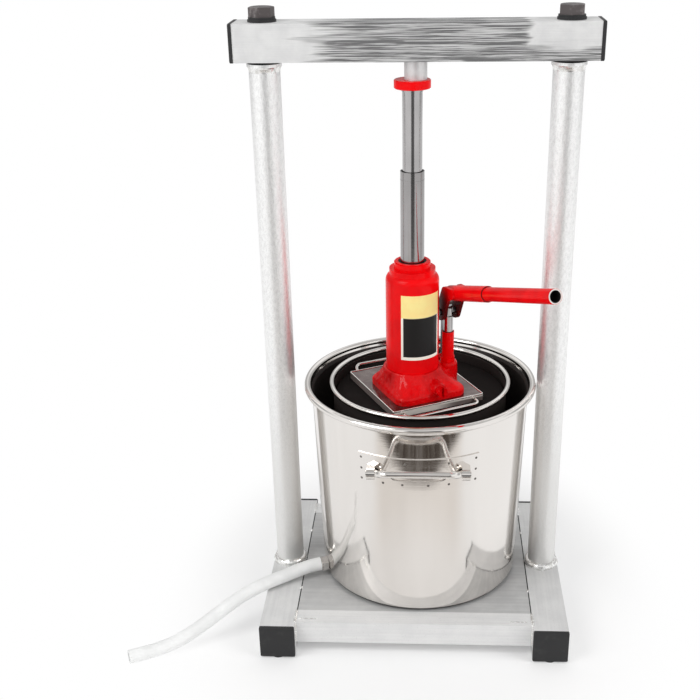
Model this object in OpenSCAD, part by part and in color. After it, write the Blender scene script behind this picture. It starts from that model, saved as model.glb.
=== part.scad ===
// Hydraulic fruit press: a bottle jack braced under a bolted beam drives a plate into a basket.
// Millimetres. X points right, Y to the back, Z up.
// The origin is on the floor, midway between the two columns.

/* [Base frame] */
// Length of each rail tube
rail_len = 286; // [276:1:330]
// Outer width and height of the square rail tube
rail_w = 40; // [36:1:42]
// Wall of the rail tube
rail_wall = 2.5; // [1.5:0.5:4]
// Thickness of an end cap outside its tube
cap_t = 4; // [2:0.5:6]
// Length of an end cap's plug inside its tube
cap_plug = 12; // [6:1:20]
// Wall of an end cap's plug
cap_plug_wall = 3; // [2:0.5:5]
// Height of the round feet under the rails
foot_h = 2; // [1:0.5:6]
// Diameter of the round feet
foot_d = 16; // [10:1:30]
// Front to back width of a crossbar
crossbar_d = 24; // [16:1:30]
// Height of a crossbar, whose top is level with the rails
crossbar_h = 28; // [16:1:34]
// Wall of a crossbar
crossbar_wall = 2; // [1.5:0.5:4]
// Distance from a rail tube's end to the crossbar
crossbar_inset = 9; // [4:1:14]
// Thickness of the plate between the crossbars
base_plate_t = 3; // [2:0.5:6]

/* [Columns and beam] */
// Length of a column tube
column_len = 608; // [598:1:640]
// Outer diameter of a column
column_d = 33; // [28:0.5:36]
// Wall of a column
column_wall = 2.5; // [1.5:0.5:4]
// Height of the weld bead at a column's foot
weld_h = 6; // [3:0.5:9]
// Width of the weld bead at a column's foot
weld_w = 4; // [2:0.5:6]
// Diameter of the flange of the threaded plug in a column's top
plug_flange_d = 37; // [37:0.5:42]
// Thickness of that flange
plug_flange_t = 3; // [2:0.5:6]
// Depth of the plug inside the column
plug_len = 30; // [28:1:60]
// Thickness of the pad between a column and the beam
pad_t = 2.5; // [1:0.5:5]
// Diameter of the pad
pad_d = 35; // [30:0.5:38]
// Length of the beam beyond the centre line of each column
beam_overhang = 29; // [28:0.5:45]
// Height of the beam tube
beam_h = 38.5; // [34:0.5:46]
// Front to back depth of the beam tube
beam_d = 40.5; // [36:0.5:46]
// Wall of the beam tube
beam_wall = 3; // [2:0.5:5]
// Diameter of the bolts that hold the beam down
bolt_d = 16; // [12:1:16]
// Width across the flats of a bolt head
bolt_af = 24; // [22:1:27]
// Height of a bolt head
bolt_head_h = 10; // [7:0.5:13]
// Outer diameter of the flat washers
washer_d = 30; // [28:1:34]
// Thickness of the flat washers
washer_t = 2.4; // [1.5:0.1:4]
// Outer diameter of the spring washers
spring_washer_d = 28; // [26:1:30]
// Thickness of the spring washers
spring_washer_t = 2.4; // [1.5:0.1:4]
// Diameter of the thrust stub under the beam
stub_d = 24; // [18:1:30]
// Length of the thrust stub
stub_len = 20; // [16:1:26]

/* [Barrel] */
// Height of the outer barrel
barrel_h = 248; // [225:1:270]
// Outer radius of the barrel at its floor
barrel_r_low = 120; // [118:0.5:122]
// Growth of the barrel's outer radius from its floor to its rim
barrel_taper = 7.7; // [6:0.1:10]
// Wall of the barrel
barrel_wall = 1.2; // [0.8:0.1:2]
// Radius of the bend between the barrel's floor and wall
barrel_bend = 7; // [4:0.5:12]
// Radius of the rolled bead at the barrel's rim
rim_bead = 4; // [3:0.1:5]
// Distance from the wall's outer face to the centre of the rolled bead
rim_flare = 4.6; // [4:0.1:6]
// Gap between the barrel's rim and the nearer column
rim_gap = 0.55; // [0.4:0.05:4]
// Place of the barrel's axis to the right of the columns' middle
barrel_x = 5; // [0:0.5:6]
// Place of the barrel's axis behind the columns
barrel_y = 10.5; // [6:0.5:12]
// Outer diameter of the drain spout
spout_d = 12; // [10:0.5:14]
// Bore of the drain spout
spout_bore = 9; // [6:0.5:9.5]
// Height of the drain spout above the barrel's underside
spout_rise = 14; // [13:0.5:16]
// Direction of the drain spout, as an angle about the barrel's axis
spout_turn = 200; // [198:1:202]
// Diameter of the spout's clamping nut, across its corners
spout_nut_d = 19; // [17:0.5:20]
// Thickness of the spout's clamping nut
spout_nut_t = 7; // [5:0.5:7]
// Outer diameter of the drain hose
hose_d = 16; // [14:0.5:16]

/* [Barrel handles] */
// Depth of the handle pivots below the barrel's rim
handle_drop = 61; // [45:1:100]
// Angle that a handle plate spans round the barrel
handle_plate_span = 64; // [60:1:76]
// Height of a handle plate
handle_plate_h = 38; // [34:1:50]
// Thickness of a handle plate
handle_plate_t = 1.5; // [1:0.1:3]
// Width of the window in a handle plate
handle_window_w = 66; // [40:1:72]
// Height of the window in a handle plate
handle_window_h = 18; // [10:1:24]
// Diameter of the bail rod
bail_rod_d = 7.5; // [6:0.1:8]
// Half the width of a bail, to the middle of its legs
bail_half_w = 43; // [40:0.5:44]
// Reach of a bail from its pivot to the middle of its bar
bail_reach = 43.5; // [40:0.5:60]
// Angle of a bail above level at rest
bail_tilt = 28; // [0:1:40]
// Bend radius of the bail's corners
bail_bend = 10; // [8:0.5:14]
// Depth of a bail's pivot line behind the barrel's foremost point at that height
bail_pivot_in = 1.5; // [0.5:0.1:1.6]
// Length of each ear that holds a bail
ear_len = 9; // [6:0.5:11]
// Wall of an ear
ear_wall = 2.5; // [2:0.1:3.5]

/* [Basket and press plate] */
// Depth of the basket's rim below the barrel's rim
basket_drop = 0; // [0:0.5:6]
// Gap between the basket's wall and the barrel's wall at the floor
basket_gap = 16.8; // [14.8:0.1:17.8]
// Wall of the basket
basket_wall = 1; // [0.8:0.1:2]
// Radius of the bead at the basket's rim
basket_bead = 2.8; // [2:0.1:3.5]
// Diameter of the drain holes in the basket
basket_hole_d = 9; // [4:0.5:12]
// Number of columns of holes round the basket
basket_hole_cols = 12; // [8:2:16]
// Number of rows of holes up the basket
basket_hole_rows = 5; // [3:1:6]
// Thickness of the press plate
plate_t = 6; // [4:0.5:12]
// Gap between the press plate and the basket's wall
plate_gap = 2.5; // [1:0.1:4]
// Depth of the press plate's top below the basket's rim
plate_depth = 15.8; // [10:0.1:40]
// Distance from the press plate's edge in to the left and right sides of the jack's seat
seat_side_in = 41.5; // [39.5:0.5:44.5]
// Distance from the press plate's edge in to the front and back of the jack's seat
seat_end_in = 36.5; // [35.5:0.5:39.5]
// Height of the seat's turned-down edge
seat_h = 8; // [6:0.5:14]
// Thickness of the seat's sheet
seat_t = 2; // [1:0.5:4]
// Wire diameter of the seat's lifting handles
wire_d = 4; // [3:0.5:5]
// Reach of the lifting handles beyond the seat's edge
wire_reach = 14; // [10:0.5:15]
// Angle at which the rear lifting handle stands up
wire_tilt = 25; // [0:1:40]

/* [Jack] */
// Place of the jack's axis to the left of the columns' middle
jack_x = -3.5; // [-6:0.5:0]
// Turn of the jack about its axis
jack_turn = 27; // [25:0.5:29]
// Width of the square jack base
base_w = 86; // [82:1:90]
// Thickness of the base's flange
base_h = 10; // [8:0.5:14]
// Corner radius of the base's flange
base_corner = 12; // [6:0.5:20]
// Height of the seat of the tubes in the base
base_seat = 20; // [18:0.5:24]
// Height of the skirt round the reservoir's foot
skirt_h = 28; // [26:0.5:34]
// Outer diameter of the reservoir
reservoir_d = 60.6; // [58:0.2:64]
// Wall of the reservoir
reservoir_wall = 2.5; // [1.5:0.5:4]
// Length of the reservoir tube
reservoir_h = 114; // [110:1:120]
// Wall of the pressure cylinder
cylinder_wall = 5; // [3:0.5:8]
// Height of the top nut above the reservoir
nut_h = 22; // [20:0.5:28]
// Diameter of the outer ram
outer_ram_d = 26.5; // [25:0.5:30]
// Length of the outer ram
outer_ram_len = 144; // [140:1:150]
// Length of the outer ram that stands out of the top nut at rest
outer_ram_out = 101; // [96:1:104]
// Diameter of the inner ram
inner_ram_d = 21.5; // [18:0.5:22]
// Length of the inner ram that stays inside the outer ram at rest
inner_ram_in = 22; // [16:1:26]
// Diameter of the saddle
saddle_d = 39; // [32:0.5:44]
// Height of the saddle
saddle_h = 9; // [7:0.5:14]

/* [Pump] */
// Distance from the jack's axis to the pump's axis
pump_x = 46.5; // [45:0.5:50]
// Outer diameter of the pump cylinder
pump_d = 14; // [13.5:0.1:15]
// Diameter of the plunger
plunger_d = 11; // [9:0.5:11]
// Height of the pump cylinder's top above the jack's base
pump_top = 63; // [60:0.5:66]
// Height of the plunger's pin above the jack's base
plunger_pin_z = 88; // [86:0.5:92]
// Distance between the lever's two pins
lever_arm = 22; // [20:0.5:24]
// Angle of the line from the fulcrum to the plunger's pin
lever_arm_tilt = 15; // [10:1:20]
// Diameter of the plunger's pin
plunger_pin_d = 8; // [6:0.5:8]
// Diameter of the fulcrum pins
fulcrum_pin_d = 6; // [5:0.5:7]
// Thickness of a fulcrum link
link_t = 3; // [2:0.5:3]
// Thickness of the lever's cheeks
cheek_t = 3.5; // [3:0.5:5]
// Outer diameter of the lever's socket tube
socket_d = 18; // [17:0.5:20]
// Length of the lever's socket tube
socket_len = 88; // [80:1:96]
// Distance of the socket tube's start in front of the plunger
socket_fwd = 5.5; // [4:0.5:8]
// Height of the socket tube's start above the plunger's pin
socket_rise = 23.5; // [22:0.5:28]
// Angle of the handle above level at rest
handle_tilt = 17; // [10:1:22]
// Outer diameter of the handle tube
handle_d = 15.5; // [12:0.5:15.5]
// Wall of the handle tube
handle_wall = 1.5; // [1:0.1:2.5]
// Length of the handle tube
handle_len = 178; // [150:0.5:200]
// Length of the handle tube inside the socket at rest
handle_in = 44; // [36:1:50]

/* [Fits] */
// Clearance between fixed pieces that fit in each other
fit_gap = 0.1; // [0.05:0.05:0.2]
// Radial clearance of pins, rams and other sliding fits
run_gap = 0.06; // [0.02:0.01:0.1]
// Radial clearance of the loose bails in their ears, and of other loose pieces
loose_gap = 0.4; // [0.3:0.05:0.8]
// Gap between the saddle and the thrust stub at rest
touch_gap = 0.05; // [0.02:0.01:0.5]

/* [Hidden] */
$fn = 96;
eps = 0.01;

// Places and heights of the frame, whose columns stand clear of the barrel's rim
barrel_r_high = barrel_r_low + barrel_taper;
rim_outer = barrel_r_high + rim_flare + rim_bead;
column_reach = rim_outer + rim_gap + column_d / 2;
column_x = barrel_x + sqrt(column_reach * column_reach - barrel_y * barrel_y);
rail_span = 2 * column_x;
beam_len = rail_span + 2 * beam_overhang;
rail_top = foot_h + rail_w;
column_top = rail_top + column_len;
beam_bottom = column_top + plug_flange_t + pad_t;
beam_top = beam_bottom + beam_h;
stub_bottom = beam_bottom - stub_len;
rail_end = rail_len / 2;
crossbar_y = rail_end - crossbar_inset - crossbar_d;
inner_w = rail_span - rail_w;
plate_side_gap = 0.8;
bolt_hole_d = bolt_d + 1;
foot_out = cap_t - 1;

// Heights of the barrel, the basket and what stands in it
barrel_top = rail_top + barrel_h;
barrel_slope = (barrel_r_high - barrel_r_low) / (barrel_h - barrel_bend);
handle_rise = barrel_h - handle_drop;
basket_bottom = rail_top + barrel_wall;
basket_h = barrel_h - barrel_wall - basket_drop;
basket_top = basket_bottom + basket_h;
basket_r = barrel_r_low - barrel_wall - basket_gap;
basket_inner = basket_r - basket_wall;
plate_r = basket_inner - plate_gap;
seat_w = 2 * (plate_r - seat_side_in);
seat_d = 2 * (plate_r - seat_end_in);
plate_top = basket_top - plate_depth;
jack_z = plate_top + seat_h;
lip_z = barrel_h - 3 * rim_bead;
inner_slope = (barrel_r_high - barrel_r_low) / (barrel_h - barrel_bend + barrel_wall);
function barrel_r(z) = barrel_r_low + barrel_slope * (z - barrel_bend);
function barrel_inner(z) = barrel_r_low - barrel_wall + inner_slope * (z - barrel_bend);

// Heights of the jack above its own base
nut_z = base_seat + reservoir_h;
nut_top = nut_z + nut_h;
outer_ram_top = nut_top + outer_ram_out;
outer_ram_foot = outer_ram_top - outer_ram_len;
saddle_z = stub_bottom - touch_gap - saddle_h - jack_z;
inner_ram_foot = outer_ram_top - inner_ram_in;
outer_ram_floor = 14;
neck_h = 3;
neck_d = inner_ram_d + 1.3;
tang_d = 12;
tang_h = 5;
wiper_h = 3;
wiper_w = 2.6;
inner_wiper_w = 1.4;
nut_plug = 5;
nut_step_d = 41;
nut_mid_d = 52;
base_x = 5.5;
base_y = -3;
seat_x = 8.4;
seat_y = 10;

// The pump's linkage, in a plane whose first axis points forward and whose second points up
plunger_pin_at = [0, plunger_pin_z];
fulcrum_at = plunger_pin_at - lever_arm * [cos(lever_arm_tilt), sin(lever_arm_tilt)];
link_foot_at = [fulcrum_at[0], base_seat];
socket_at = plunger_pin_at + [socket_fwd, socket_rise];
lug_half = 4;
link_gap = 0.2;
cheek_gap = 0.4;
cheek_in = lug_half + link_gap + link_t + cheek_gap;
cheek_out = cheek_in + cheek_t;
link_r = 6;
cheek_r = 8.5;
slot_play = 1.6;
slot_side = 0.5;
pin_over = 1.5;
boss_d = 22;
boss_h = 26;
pump_seat = 14;
plunger_foot = 32;
plunger_eye_r = 6;
plunger_seal_h = 4;
plunger_seal_w = 0.9;
socket_bore_from = socket_len - handle_in;
valve_x = 11;
valve_z = 14;
valve_d = 8;
valve_head_d = 12;
valve_head_h = 7;
valve_in = 16;
valve_out = 4;
valve_slot = 3;
ball_d = 8;
ball_z = 6;
duct_d = 5;
plug_d = 9;
plug_z = 100;
label_t = 0.25;
label_span = 93;
label_z = 47;
label_h = 77;

// The hose's route from the spout's nut over the left rail and down to the floor
hose_route = [
    [-116.5, -33.7, 56], [-127, -37.6, 55.6], [-138, -42.5, 54.2], [-149, -48.5, 52.8],
    [-160, -55.5, 51.6], [-171, -63, 51], [-182, -71, 50.2], [-194, -79.5, 48.2],
    [-206, -88, 44.8], [-219, -97, 39.4], [-232, -105.5, 32.8], [-245, -114, 26],
    [-258, -122, 19.6], [-271, -130, 14.2], [-284, -137.5, 10.6], [-298, -145, 8.7],
    [-313, -152.5, 8.2], [-330, -160.5, 8.2]
];
hose_sides = 12;

// A round tube that stands on its lower end
module pipe(outer_d, inner_d, h) {
    difference() {
        cylinder(d = outer_d, h = h);
        translate([0, 0, -eps]) cylinder(d = inner_d, h = h + 2 * eps);
    }
}

// A square tube along Y, centred on the origin
module box_tube(w, h, len, wall) {
    difference() {
        cube([w, len, h], center = true);
        cube([w - 2 * wall, len + 2 * eps, h - 2 * wall], center = true);
    }
}

// Two discs and the straight sides that touch both, in a plane
module link_outline(p, q, rp, rq) {
    d = norm(q - p);
    along = atan2(q[1] - p[1], q[0] - p[0]);
    a = acos((rp - rq) / d);
    polygon([
        p + rp * [cos(along + a), sin(along + a)],
        p + rp * [cos(along - a), sin(along - a)],
        q + rq * [cos(along - a), sin(along - a)],
        q + rq * [cos(along + a), sin(along + a)]
    ]);
    translate(p) circle(r = rp);
    translate(q) circle(r = rq);
}

// A flat block with round corners that stands on its lower face
module round_block(w, d, h, r) {
    translate([-w / 2 + r, -d / 2, 0]) cube([w - 2 * r, d, h]);
    translate([-w / 2, -d / 2 + r, 0]) cube([w, d - 2 * r, h]);
    for (x = [-1, 1], y = [-1, 1])
        translate([x * (w / 2 - r), y * (d / 2 - r), 0]) cylinder(r = r, h = h);
}

// A round rod between two points
module rod(p, q, d) {
    v = q - p;
    translate(p)
        rotate([0, acos(v[2] / norm(v)), atan2(v[1], v[0])])
            cylinder(d = d, h = norm(v));
}

// An end cap for a tube that runs along Y, with its outer face at y = 0 and its plug behind
module tube_cap(w, h, wall) {
    plug_w = w - 2 * wall - 2 * fit_gap;
    plug_h = h - 2 * wall - 2 * fit_gap;
    edge = cap_t / 3;
    translate([-w / 2, edge, -h / 2]) cube([w, cap_t - edge, h]);
    translate([-w / 2 + edge, 0, -h / 2 + edge]) cube([w - 2 * edge, edge, h - 2 * edge]);
    difference() {
        translate([-plug_w / 2, cap_t - eps, -plug_h / 2]) cube([plug_w, cap_plug + eps, plug_h]);
        translate([cap_plug_wall - plug_w / 2, cap_t, cap_plug_wall - plug_h / 2])
            cube([plug_w - 2 * cap_plug_wall, cap_plug + 1, plug_h - 2 * cap_plug_wall]);
    }
}

module at_columns() {
    for (side = [-1, 1]) translate([side * column_x, 0, 0]) children();
}

module at_rail_ends() {
    for (side = [-1, 1], turn = [0, 180])
        translate([side * column_x, 0, 0]) rotate(turn) translate([0, -rail_end, 0]) children();
}

module at_barrel() {
    translate([barrel_x, barrel_y, rail_top]) children();
}

module at_jack() {
    translate([jack_x, 0, jack_z]) rotate(jack_turn) children();
}

// Puts a shape drawn as [forward, up] into the pump's plane, with its thickness to both sides
module at_pump() {
    at_jack() translate([pump_x, 0, 0]) rotate([90, 0, -90]) children();
}

module in_socket() {
    at_pump() translate(socket_at) rotate(handle_tilt) rotate([0, 90, 0]) children();
}

// Frame

module rail() {
    color("gainsboro")
        translate([0, 0, foot_h + rail_w / 2]) box_tube(rail_w, rail_w, rail_len, rail_wall);
}

module left_rail() {
    translate([-column_x, 0, 0]) rail();
}

module right_rail() {
    translate([column_x, 0, 0]) rail();
}

module rail_end_caps() {
    color("dimgray")
        at_rail_ends() translate([0, -cap_t, foot_h + rail_w / 2]) tube_cap(rail_w, rail_w, rail_wall);
}

module rubber_feet() {
    color("black")
        at_rail_ends() translate([0, foot_d / 2 - foot_out, 0]) cylinder(d = foot_d, h = foot_h);
}

module crossbar() {
    color("gainsboro")
        translate([0, crossbar_y + crossbar_d / 2, rail_top - crossbar_h / 2])
            rotate(90) box_tube(crossbar_d, crossbar_h, inner_w, crossbar_wall);
}

module front_crossbar() {
    rotate(180) crossbar();
}

module rear_crossbar() {
    crossbar();
}

module base_plate() {
    w = inner_w - 2 * plate_side_gap;
    color("silver")
        translate([-w / 2, -crossbar_y, rail_top - base_plate_t]) cube([w, 2 * crossbar_y, base_plate_t]);
}

module column() {
    color("lightgray")
        translate([0, 0, rail_top]) pipe(column_d, column_d - 2 * column_wall, column_len);
}

module left_column() {
    translate([-column_x, 0, 0]) column();
}

module right_column() {
    translate([column_x, 0, 0]) column();
}

module column_welds() {
    bead_r = column_d / 2 + fit_gap / 2;
    color("whitesmoke")
        at_columns() {
            translate([0, 0, rail_top])
                rotate_extrude()
                    intersection() {
                        translate([bead_r, 0]) circle(r = weld_h);
                        translate([bead_r, 0]) square([weld_w, weld_h]);
                    }
            rotate_extrude()
                polygon([
                    [bead_r, column_top - weld_h], [plug_flange_d / 2, column_top], [bead_r, column_top]
                ]);
        }
}

module column_plugs() {
    color("silver")
        at_columns()
            difference() {
                union() {
                    translate([0, 0, column_top]) cylinder(d = plug_flange_d, h = plug_flange_t);
                    translate([0, 0, column_top - plug_len])
                        cylinder(d = column_d - 2 * column_wall - 2 * fit_gap, h = plug_len + eps);
                }
                translate([0, 0, column_top - plug_len - 1])
                    cylinder(d = bolt_d + 2 * fit_gap, h = plug_len + plug_flange_t + 2);
            }
}

module beam_pads() {
    color("black")
        at_columns() translate([0, 0, column_top + plug_flange_t]) pipe(pad_d, bolt_hole_d, pad_t);
}

module crossbeam() {
    color("silver")
        difference() {
            translate([0, 0, beam_bottom + beam_h / 2])
                rotate(90) box_tube(beam_d, beam_h, beam_len, beam_wall);
            at_columns() translate([0, 0, beam_bottom - 1]) cylinder(d = bolt_hole_d, h = beam_h + 2);
        }
}

module beam_end_caps() {
    color("dimgray")
        for (turn = [90, -90])
            rotate(turn)
                translate([0, -beam_len / 2 - cap_t, beam_bottom + beam_h / 2])
                    tube_cap(beam_d, beam_h, beam_wall);
}

module beam_bolts() {
    head_z = beam_top + washer_t + spring_washer_t;
    reach = head_z - column_top + plug_len;
    head_turn = 20;
    head_top = 0.94;
    color("dimgray")
        at_columns() {
            translate([0, 0, head_z - reach]) cylinder(d = bolt_d, h = reach + eps);
            intersection() {
                translate([0, 0, head_z])
                    rotate(head_turn) cylinder(d = bolt_af / cos(30), h = bolt_head_h, $fn = 6);
                translate([0, 0, head_z])
                    cylinder(d1 = 4 * bolt_af, d2 = head_top * bolt_af, h = bolt_head_h);
            }
        }
}

module flat_washers() {
    color("black")
        at_columns() translate([0, 0, beam_top]) pipe(washer_d, bolt_hole_d, washer_t);
}

module spring_washers() {
    split = 2.5;
    split_tilt = 35;
    color("black")
        at_columns()
            translate([0, 0, beam_top + washer_t])
                difference() {
                    pipe(spring_washer_d, bolt_hole_d, spring_washer_t);
                    translate([0, spring_washer_d / 2, spring_washer_t / 2])
                        rotate([0, split_tilt, 0])
                            cube([split, spring_washer_d, 3 * spring_washer_t], center = true);
                }
}

module thrust_stub() {
    color("white")
        translate([0, 0, stub_bottom]) cylinder(d = stub_d, h = stub_len);
}

// Barrel

// Half section of a tapered tub with a round bend at its floor
module tub_section(r_low, r_high, h, bend) {
    polygon([[0, 0], [r_low - bend, 0], [r_low - bend, bend], [r_low, bend], [r_high, h], [0, h]]);
    translate([r_low - bend, bend]) circle(r = bend);
}

// Half section of the flared lip and the rolled bead above the barrel's wall
module rim_section() {
    bead_at = [barrel_r_high + rim_flare, barrel_h - rim_bead];
    inside = rim_bead / 2;
    translate(bead_at) circle(r = rim_bead);
    polygon([
        [barrel_inner(lip_z), lip_z], [barrel_r(lip_z), lip_z],
        bead_at - [0, inside], bead_at, bead_at + [-inside, inside]
    ]);
}

module barrel_shell_section() {
    difference() {
        intersection() {
            tub_section(barrel_r_low, barrel_r_high, barrel_h, barrel_bend);
            square([barrel_r_high, lip_z]);
        }
        translate([0, barrel_wall])
            tub_section(
                barrel_r_low - barrel_wall, barrel_r_high - barrel_wall, barrel_h, barrel_bend - barrel_wall
            );
    }
    rim_section();
}

// The spout's flange inside the wall, and its nut outside, which starts clear of the tapered wall
spout_flange_d = spout_d + 4;
spout_flange_t = 1.5;
spout_over = 1;
nut_seat_r = barrel_r(spout_rise + spout_nut_d / 2) + fit_gap;

module at_spout() {
    at_barrel() rotate(spout_turn) translate([0, 0, spout_rise]) rotate([0, 90, 0]) children();
}

module outer_barrel() {
    color("lightgray")
        difference() {
            at_barrel() rotate_extrude() barrel_shell_section();
            at_spout()
                translate([0, 0, barrel_r_low / 2])
                    cylinder(d = spout_d + 2 * fit_gap, h = barrel_r_low);
        }
}

module drain_spout() {
    inner_r = barrel_inner(spout_rise - spout_flange_d / 2);
    seat_r = sqrt(inner_r * inner_r - spout_flange_d * spout_flange_d / 4) - fit_gap;
    foot_r = seat_r - spout_flange_t;
    end_r = nut_seat_r + spout_nut_t + spout_over;
    color("silver")
        at_spout()
            difference() {
                union() {
                    translate([0, 0, foot_r]) cylinder(d = spout_flange_d, h = spout_flange_t);
                    translate([0, 0, foot_r]) cylinder(d = spout_d, h = end_r - foot_r);
                }
                translate([0, 0, foot_r - 1]) cylinder(d = spout_bore, h = end_r - foot_r + 2);
            }
}

module spout_nut() {
    color("silver")
        at_spout()
            translate([0, 0, nut_seat_r])
                difference() {
                    cylinder(d = spout_nut_d, h = spout_nut_t, $fn = 6);
                    translate([0, 0, -1]) cylinder(d = spout_d + 2 * fit_gap, h = spout_nut_t + 2);
                }
}

// The rings of points round a route, with their flat side frames taken from the route's direction
function unit(v) = v / norm(v);
function route_dir(p, i) = unit(p[min(i + 1, len(p) - 1)] - p[max(i - 1, 0)]);
function route_side(p, i) = unit(cross(route_dir(p, i), [0, 0, 1]));
function route_up(p, i) = cross(route_side(p, i), route_dir(p, i));
function route_points(p, r, n) = [
    for (i = [0 : len(p) - 1], k = [0 : n - 1])
        p[i] + r * (cos(360 * k / n) * route_side(p, i) + sin(360 * k / n) * route_up(p, i))
];
function route_skin(rings, n) = [
    for (i = [0 : rings - 2], k = [0 : n - 1], half = [0, 1])
        let (a = i * n + k, b = i * n + (k + 1) % n)
            half == 0 ? [a, b, b + n] : [a, b + n, a + n]
];
function route_ends(rings, n) = [
    for (k = [1 : n - 2], far = [0, 1])
        let (o = far * (rings - 1) * n)
            far == 0 ? [o, o + k + 1, o + k] : [o, o + k, o + k + 1]
];

module drain_hose() {
    rings = len(hose_route);
    color("white")
        polyhedron(
            points = route_points(hose_route, hose_d / 2, hose_sides),
            faces = concat(route_skin(rings, hose_sides), route_ends(rings, hose_sides))
        );
}

// Barrel handles

ear_at = bail_half_w + bail_rod_d / 2 + 1.5;
ear_r = bail_rod_d / 2 + loose_gap + ear_wall;
pivot_r = barrel_r(handle_rise) - bail_pivot_in;

module at_handle(turn) {
    at_barrel() rotate(turn) translate([0, 0, handle_rise]) children();
}

module handle_plate() {
    low = -handle_plate_h / 2;
    high = handle_plate_h / 2;
    r_low = barrel_r(handle_rise + low) + fit_gap;
    r_high = barrel_r(handle_rise + high) + fit_gap;
    window_r = handle_window_h / 2;
    color("silver")
        difference() {
            union() {
                rotate(-90 - handle_plate_span / 2)
                    rotate_extrude(angle = handle_plate_span)
                        polygon([
                            [r_low, low], [r_low + handle_plate_t, low],
                            [r_high + handle_plate_t, high], [r_high, high]
                        ]);
                difference() {
                    for (side = [-1, 1])
                        translate([side > 0 ? ear_at : -ear_at - ear_len, -pivot_r, 0]) {
                            rotate([0, 90, 0]) cylinder(r = ear_r, h = ear_len);
                            translate([0, 0, -ear_r]) cube([ear_len, 2 * ear_r, 2 * ear_r]);
                        }
                    translate([0, 0, low])
                        cylinder(r1 = r_low, r2 = r_high, h = handle_plate_h);
                }
            }
            translate([-ear_at - ear_len - 1, -pivot_r, 0])
                rotate([0, 90, 0]) cylinder(d = bail_rod_d + 2 * loose_gap, h = 2 * (ear_at + ear_len + 1));
            for (side = [-1, 1])
                translate([side * (handle_window_w / 2 - window_r), 0, 0])
                    rotate([90, 0, 0]) cylinder(r = window_r, h = 2 * r_high);
            translate([window_r - handle_window_w / 2, -2 * r_high, -window_r])
                cube([handle_window_w - 2 * window_r, 2 * r_high, handle_window_h]);
        }
}

module front_handle_plate() {
    at_handle(0) handle_plate();
}

module rear_handle_plate() {
    at_handle(180) handle_plate();
}

// A U of round rod in the XY plane, with its legs along Y and its bar at y = -reach
module rod_loop(half_w, reach, bend, start, d) {
    bar_half = half_w - bend;
    rod([-bar_half, -reach, 0], [bar_half, -reach, 0], d);
    for (side = [0, 1])
        mirror([side, 0, 0]) {
            translate([bar_half, bend - reach, 0])
                rotate(-90) rotate_extrude(angle = 90) translate([bend, 0]) circle(d = d);
            rod([half_w, bend - reach, 0], [half_w, -start, 0], d);
        }
}

// A bail, with its pivot line along X and its bar towards -Y
module bail() {
    color("lightgray")
        translate([0, -pivot_r, 0])
            rotate([-bail_tilt, 0, 0]) {
                rod_loop(bail_half_w, bail_reach, bail_bend, 0, bail_rod_d);
                for (side = [0, 1])
                    mirror([side, 0, 0]) {
                        translate([bail_half_w, 0, 0]) sphere(d = bail_rod_d);
                        rod([bail_half_w, 0, 0], [ear_at + ear_len + 1, 0, 0], bail_rod_d);
                    }
            }
}

module front_bail() {
    at_handle(0) bail();
}

module rear_bail() {
    at_handle(180) bail();
}

// Basket and press plate

module basket() {
    row_low = 20;
    rim_band = 30;
    row_high = basket_h - rim_band;
    row_step = (row_high - row_low) / (basket_hole_rows - 1);
    cut = 3;
    color("gray")
        translate([barrel_x, barrel_y, basket_bottom])
            difference() {
                rotate_extrude() {
                    difference() {
                        square([basket_r, basket_h - basket_bead]);
                        translate([-1, basket_wall]) square([basket_inner + 1, basket_h]);
                    }
                    translate([basket_r + basket_bead - basket_wall, basket_h - basket_bead])
                        circle(r = basket_bead);
                }
                for (row = [0 : basket_hole_rows - 1], col = [0 : basket_hole_cols - 1])
                    translate([0, 0, row_low + row * row_step])
                        rotate((col + row % 2 / 2) * 360 / basket_hole_cols)
                            translate([basket_inner - cut, 0, 0])
                                rotate([0, 90, 0]) cylinder(d = basket_hole_d, h = basket_wall + 2 * cut);
                for (ring = [1 : 2], hole = [1 : 6 * ring])
                    rotate(hole * 60 / ring)
                        translate([ring * basket_inner / 3, 0, -cut])
                            cylinder(d = basket_hole_d, h = basket_wall + 2 * cut);
            }
}

module press_plate() {
    color("gray")
        translate([barrel_x, barrel_y, plate_top - plate_t])
            cylinder(r = plate_r, h = plate_t);
}

module jack_seat() {
    hollow_w = seat_w - 2 * seat_t;
    hollow_d = seat_d - 2 * seat_t;
    color("silver")
        at_jack()
            translate([seat_x, seat_y, -seat_h])
                difference() {
                    translate([-seat_w / 2, -seat_d / 2, 0]) cube([seat_w, seat_d, seat_h]);
                    translate([-hollow_w / 2, -hollow_d / 2, -1])
                        cube([hollow_w, hollow_d, seat_h - seat_t + 1]);
                }
}

module seat_handles() {
    half = 0.4 * seat_w;
    bend = 2 * wire_d;
    for (side = [0, 1]) {
        tilt = side * wire_tilt;
        start = wire_d / 2 * sin(tilt) + fit_gap;
        color("silver")
            at_jack()
                translate([seat_x, seat_y, -seat_h / 2])
                    rotate(180 * side)
                        translate([0, -seat_d / 2, 0])
                            rotate([-tilt, 0, 0]) rod_loop(half, wire_reach, bend, start, wire_d);
    }
}

// Jack

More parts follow.
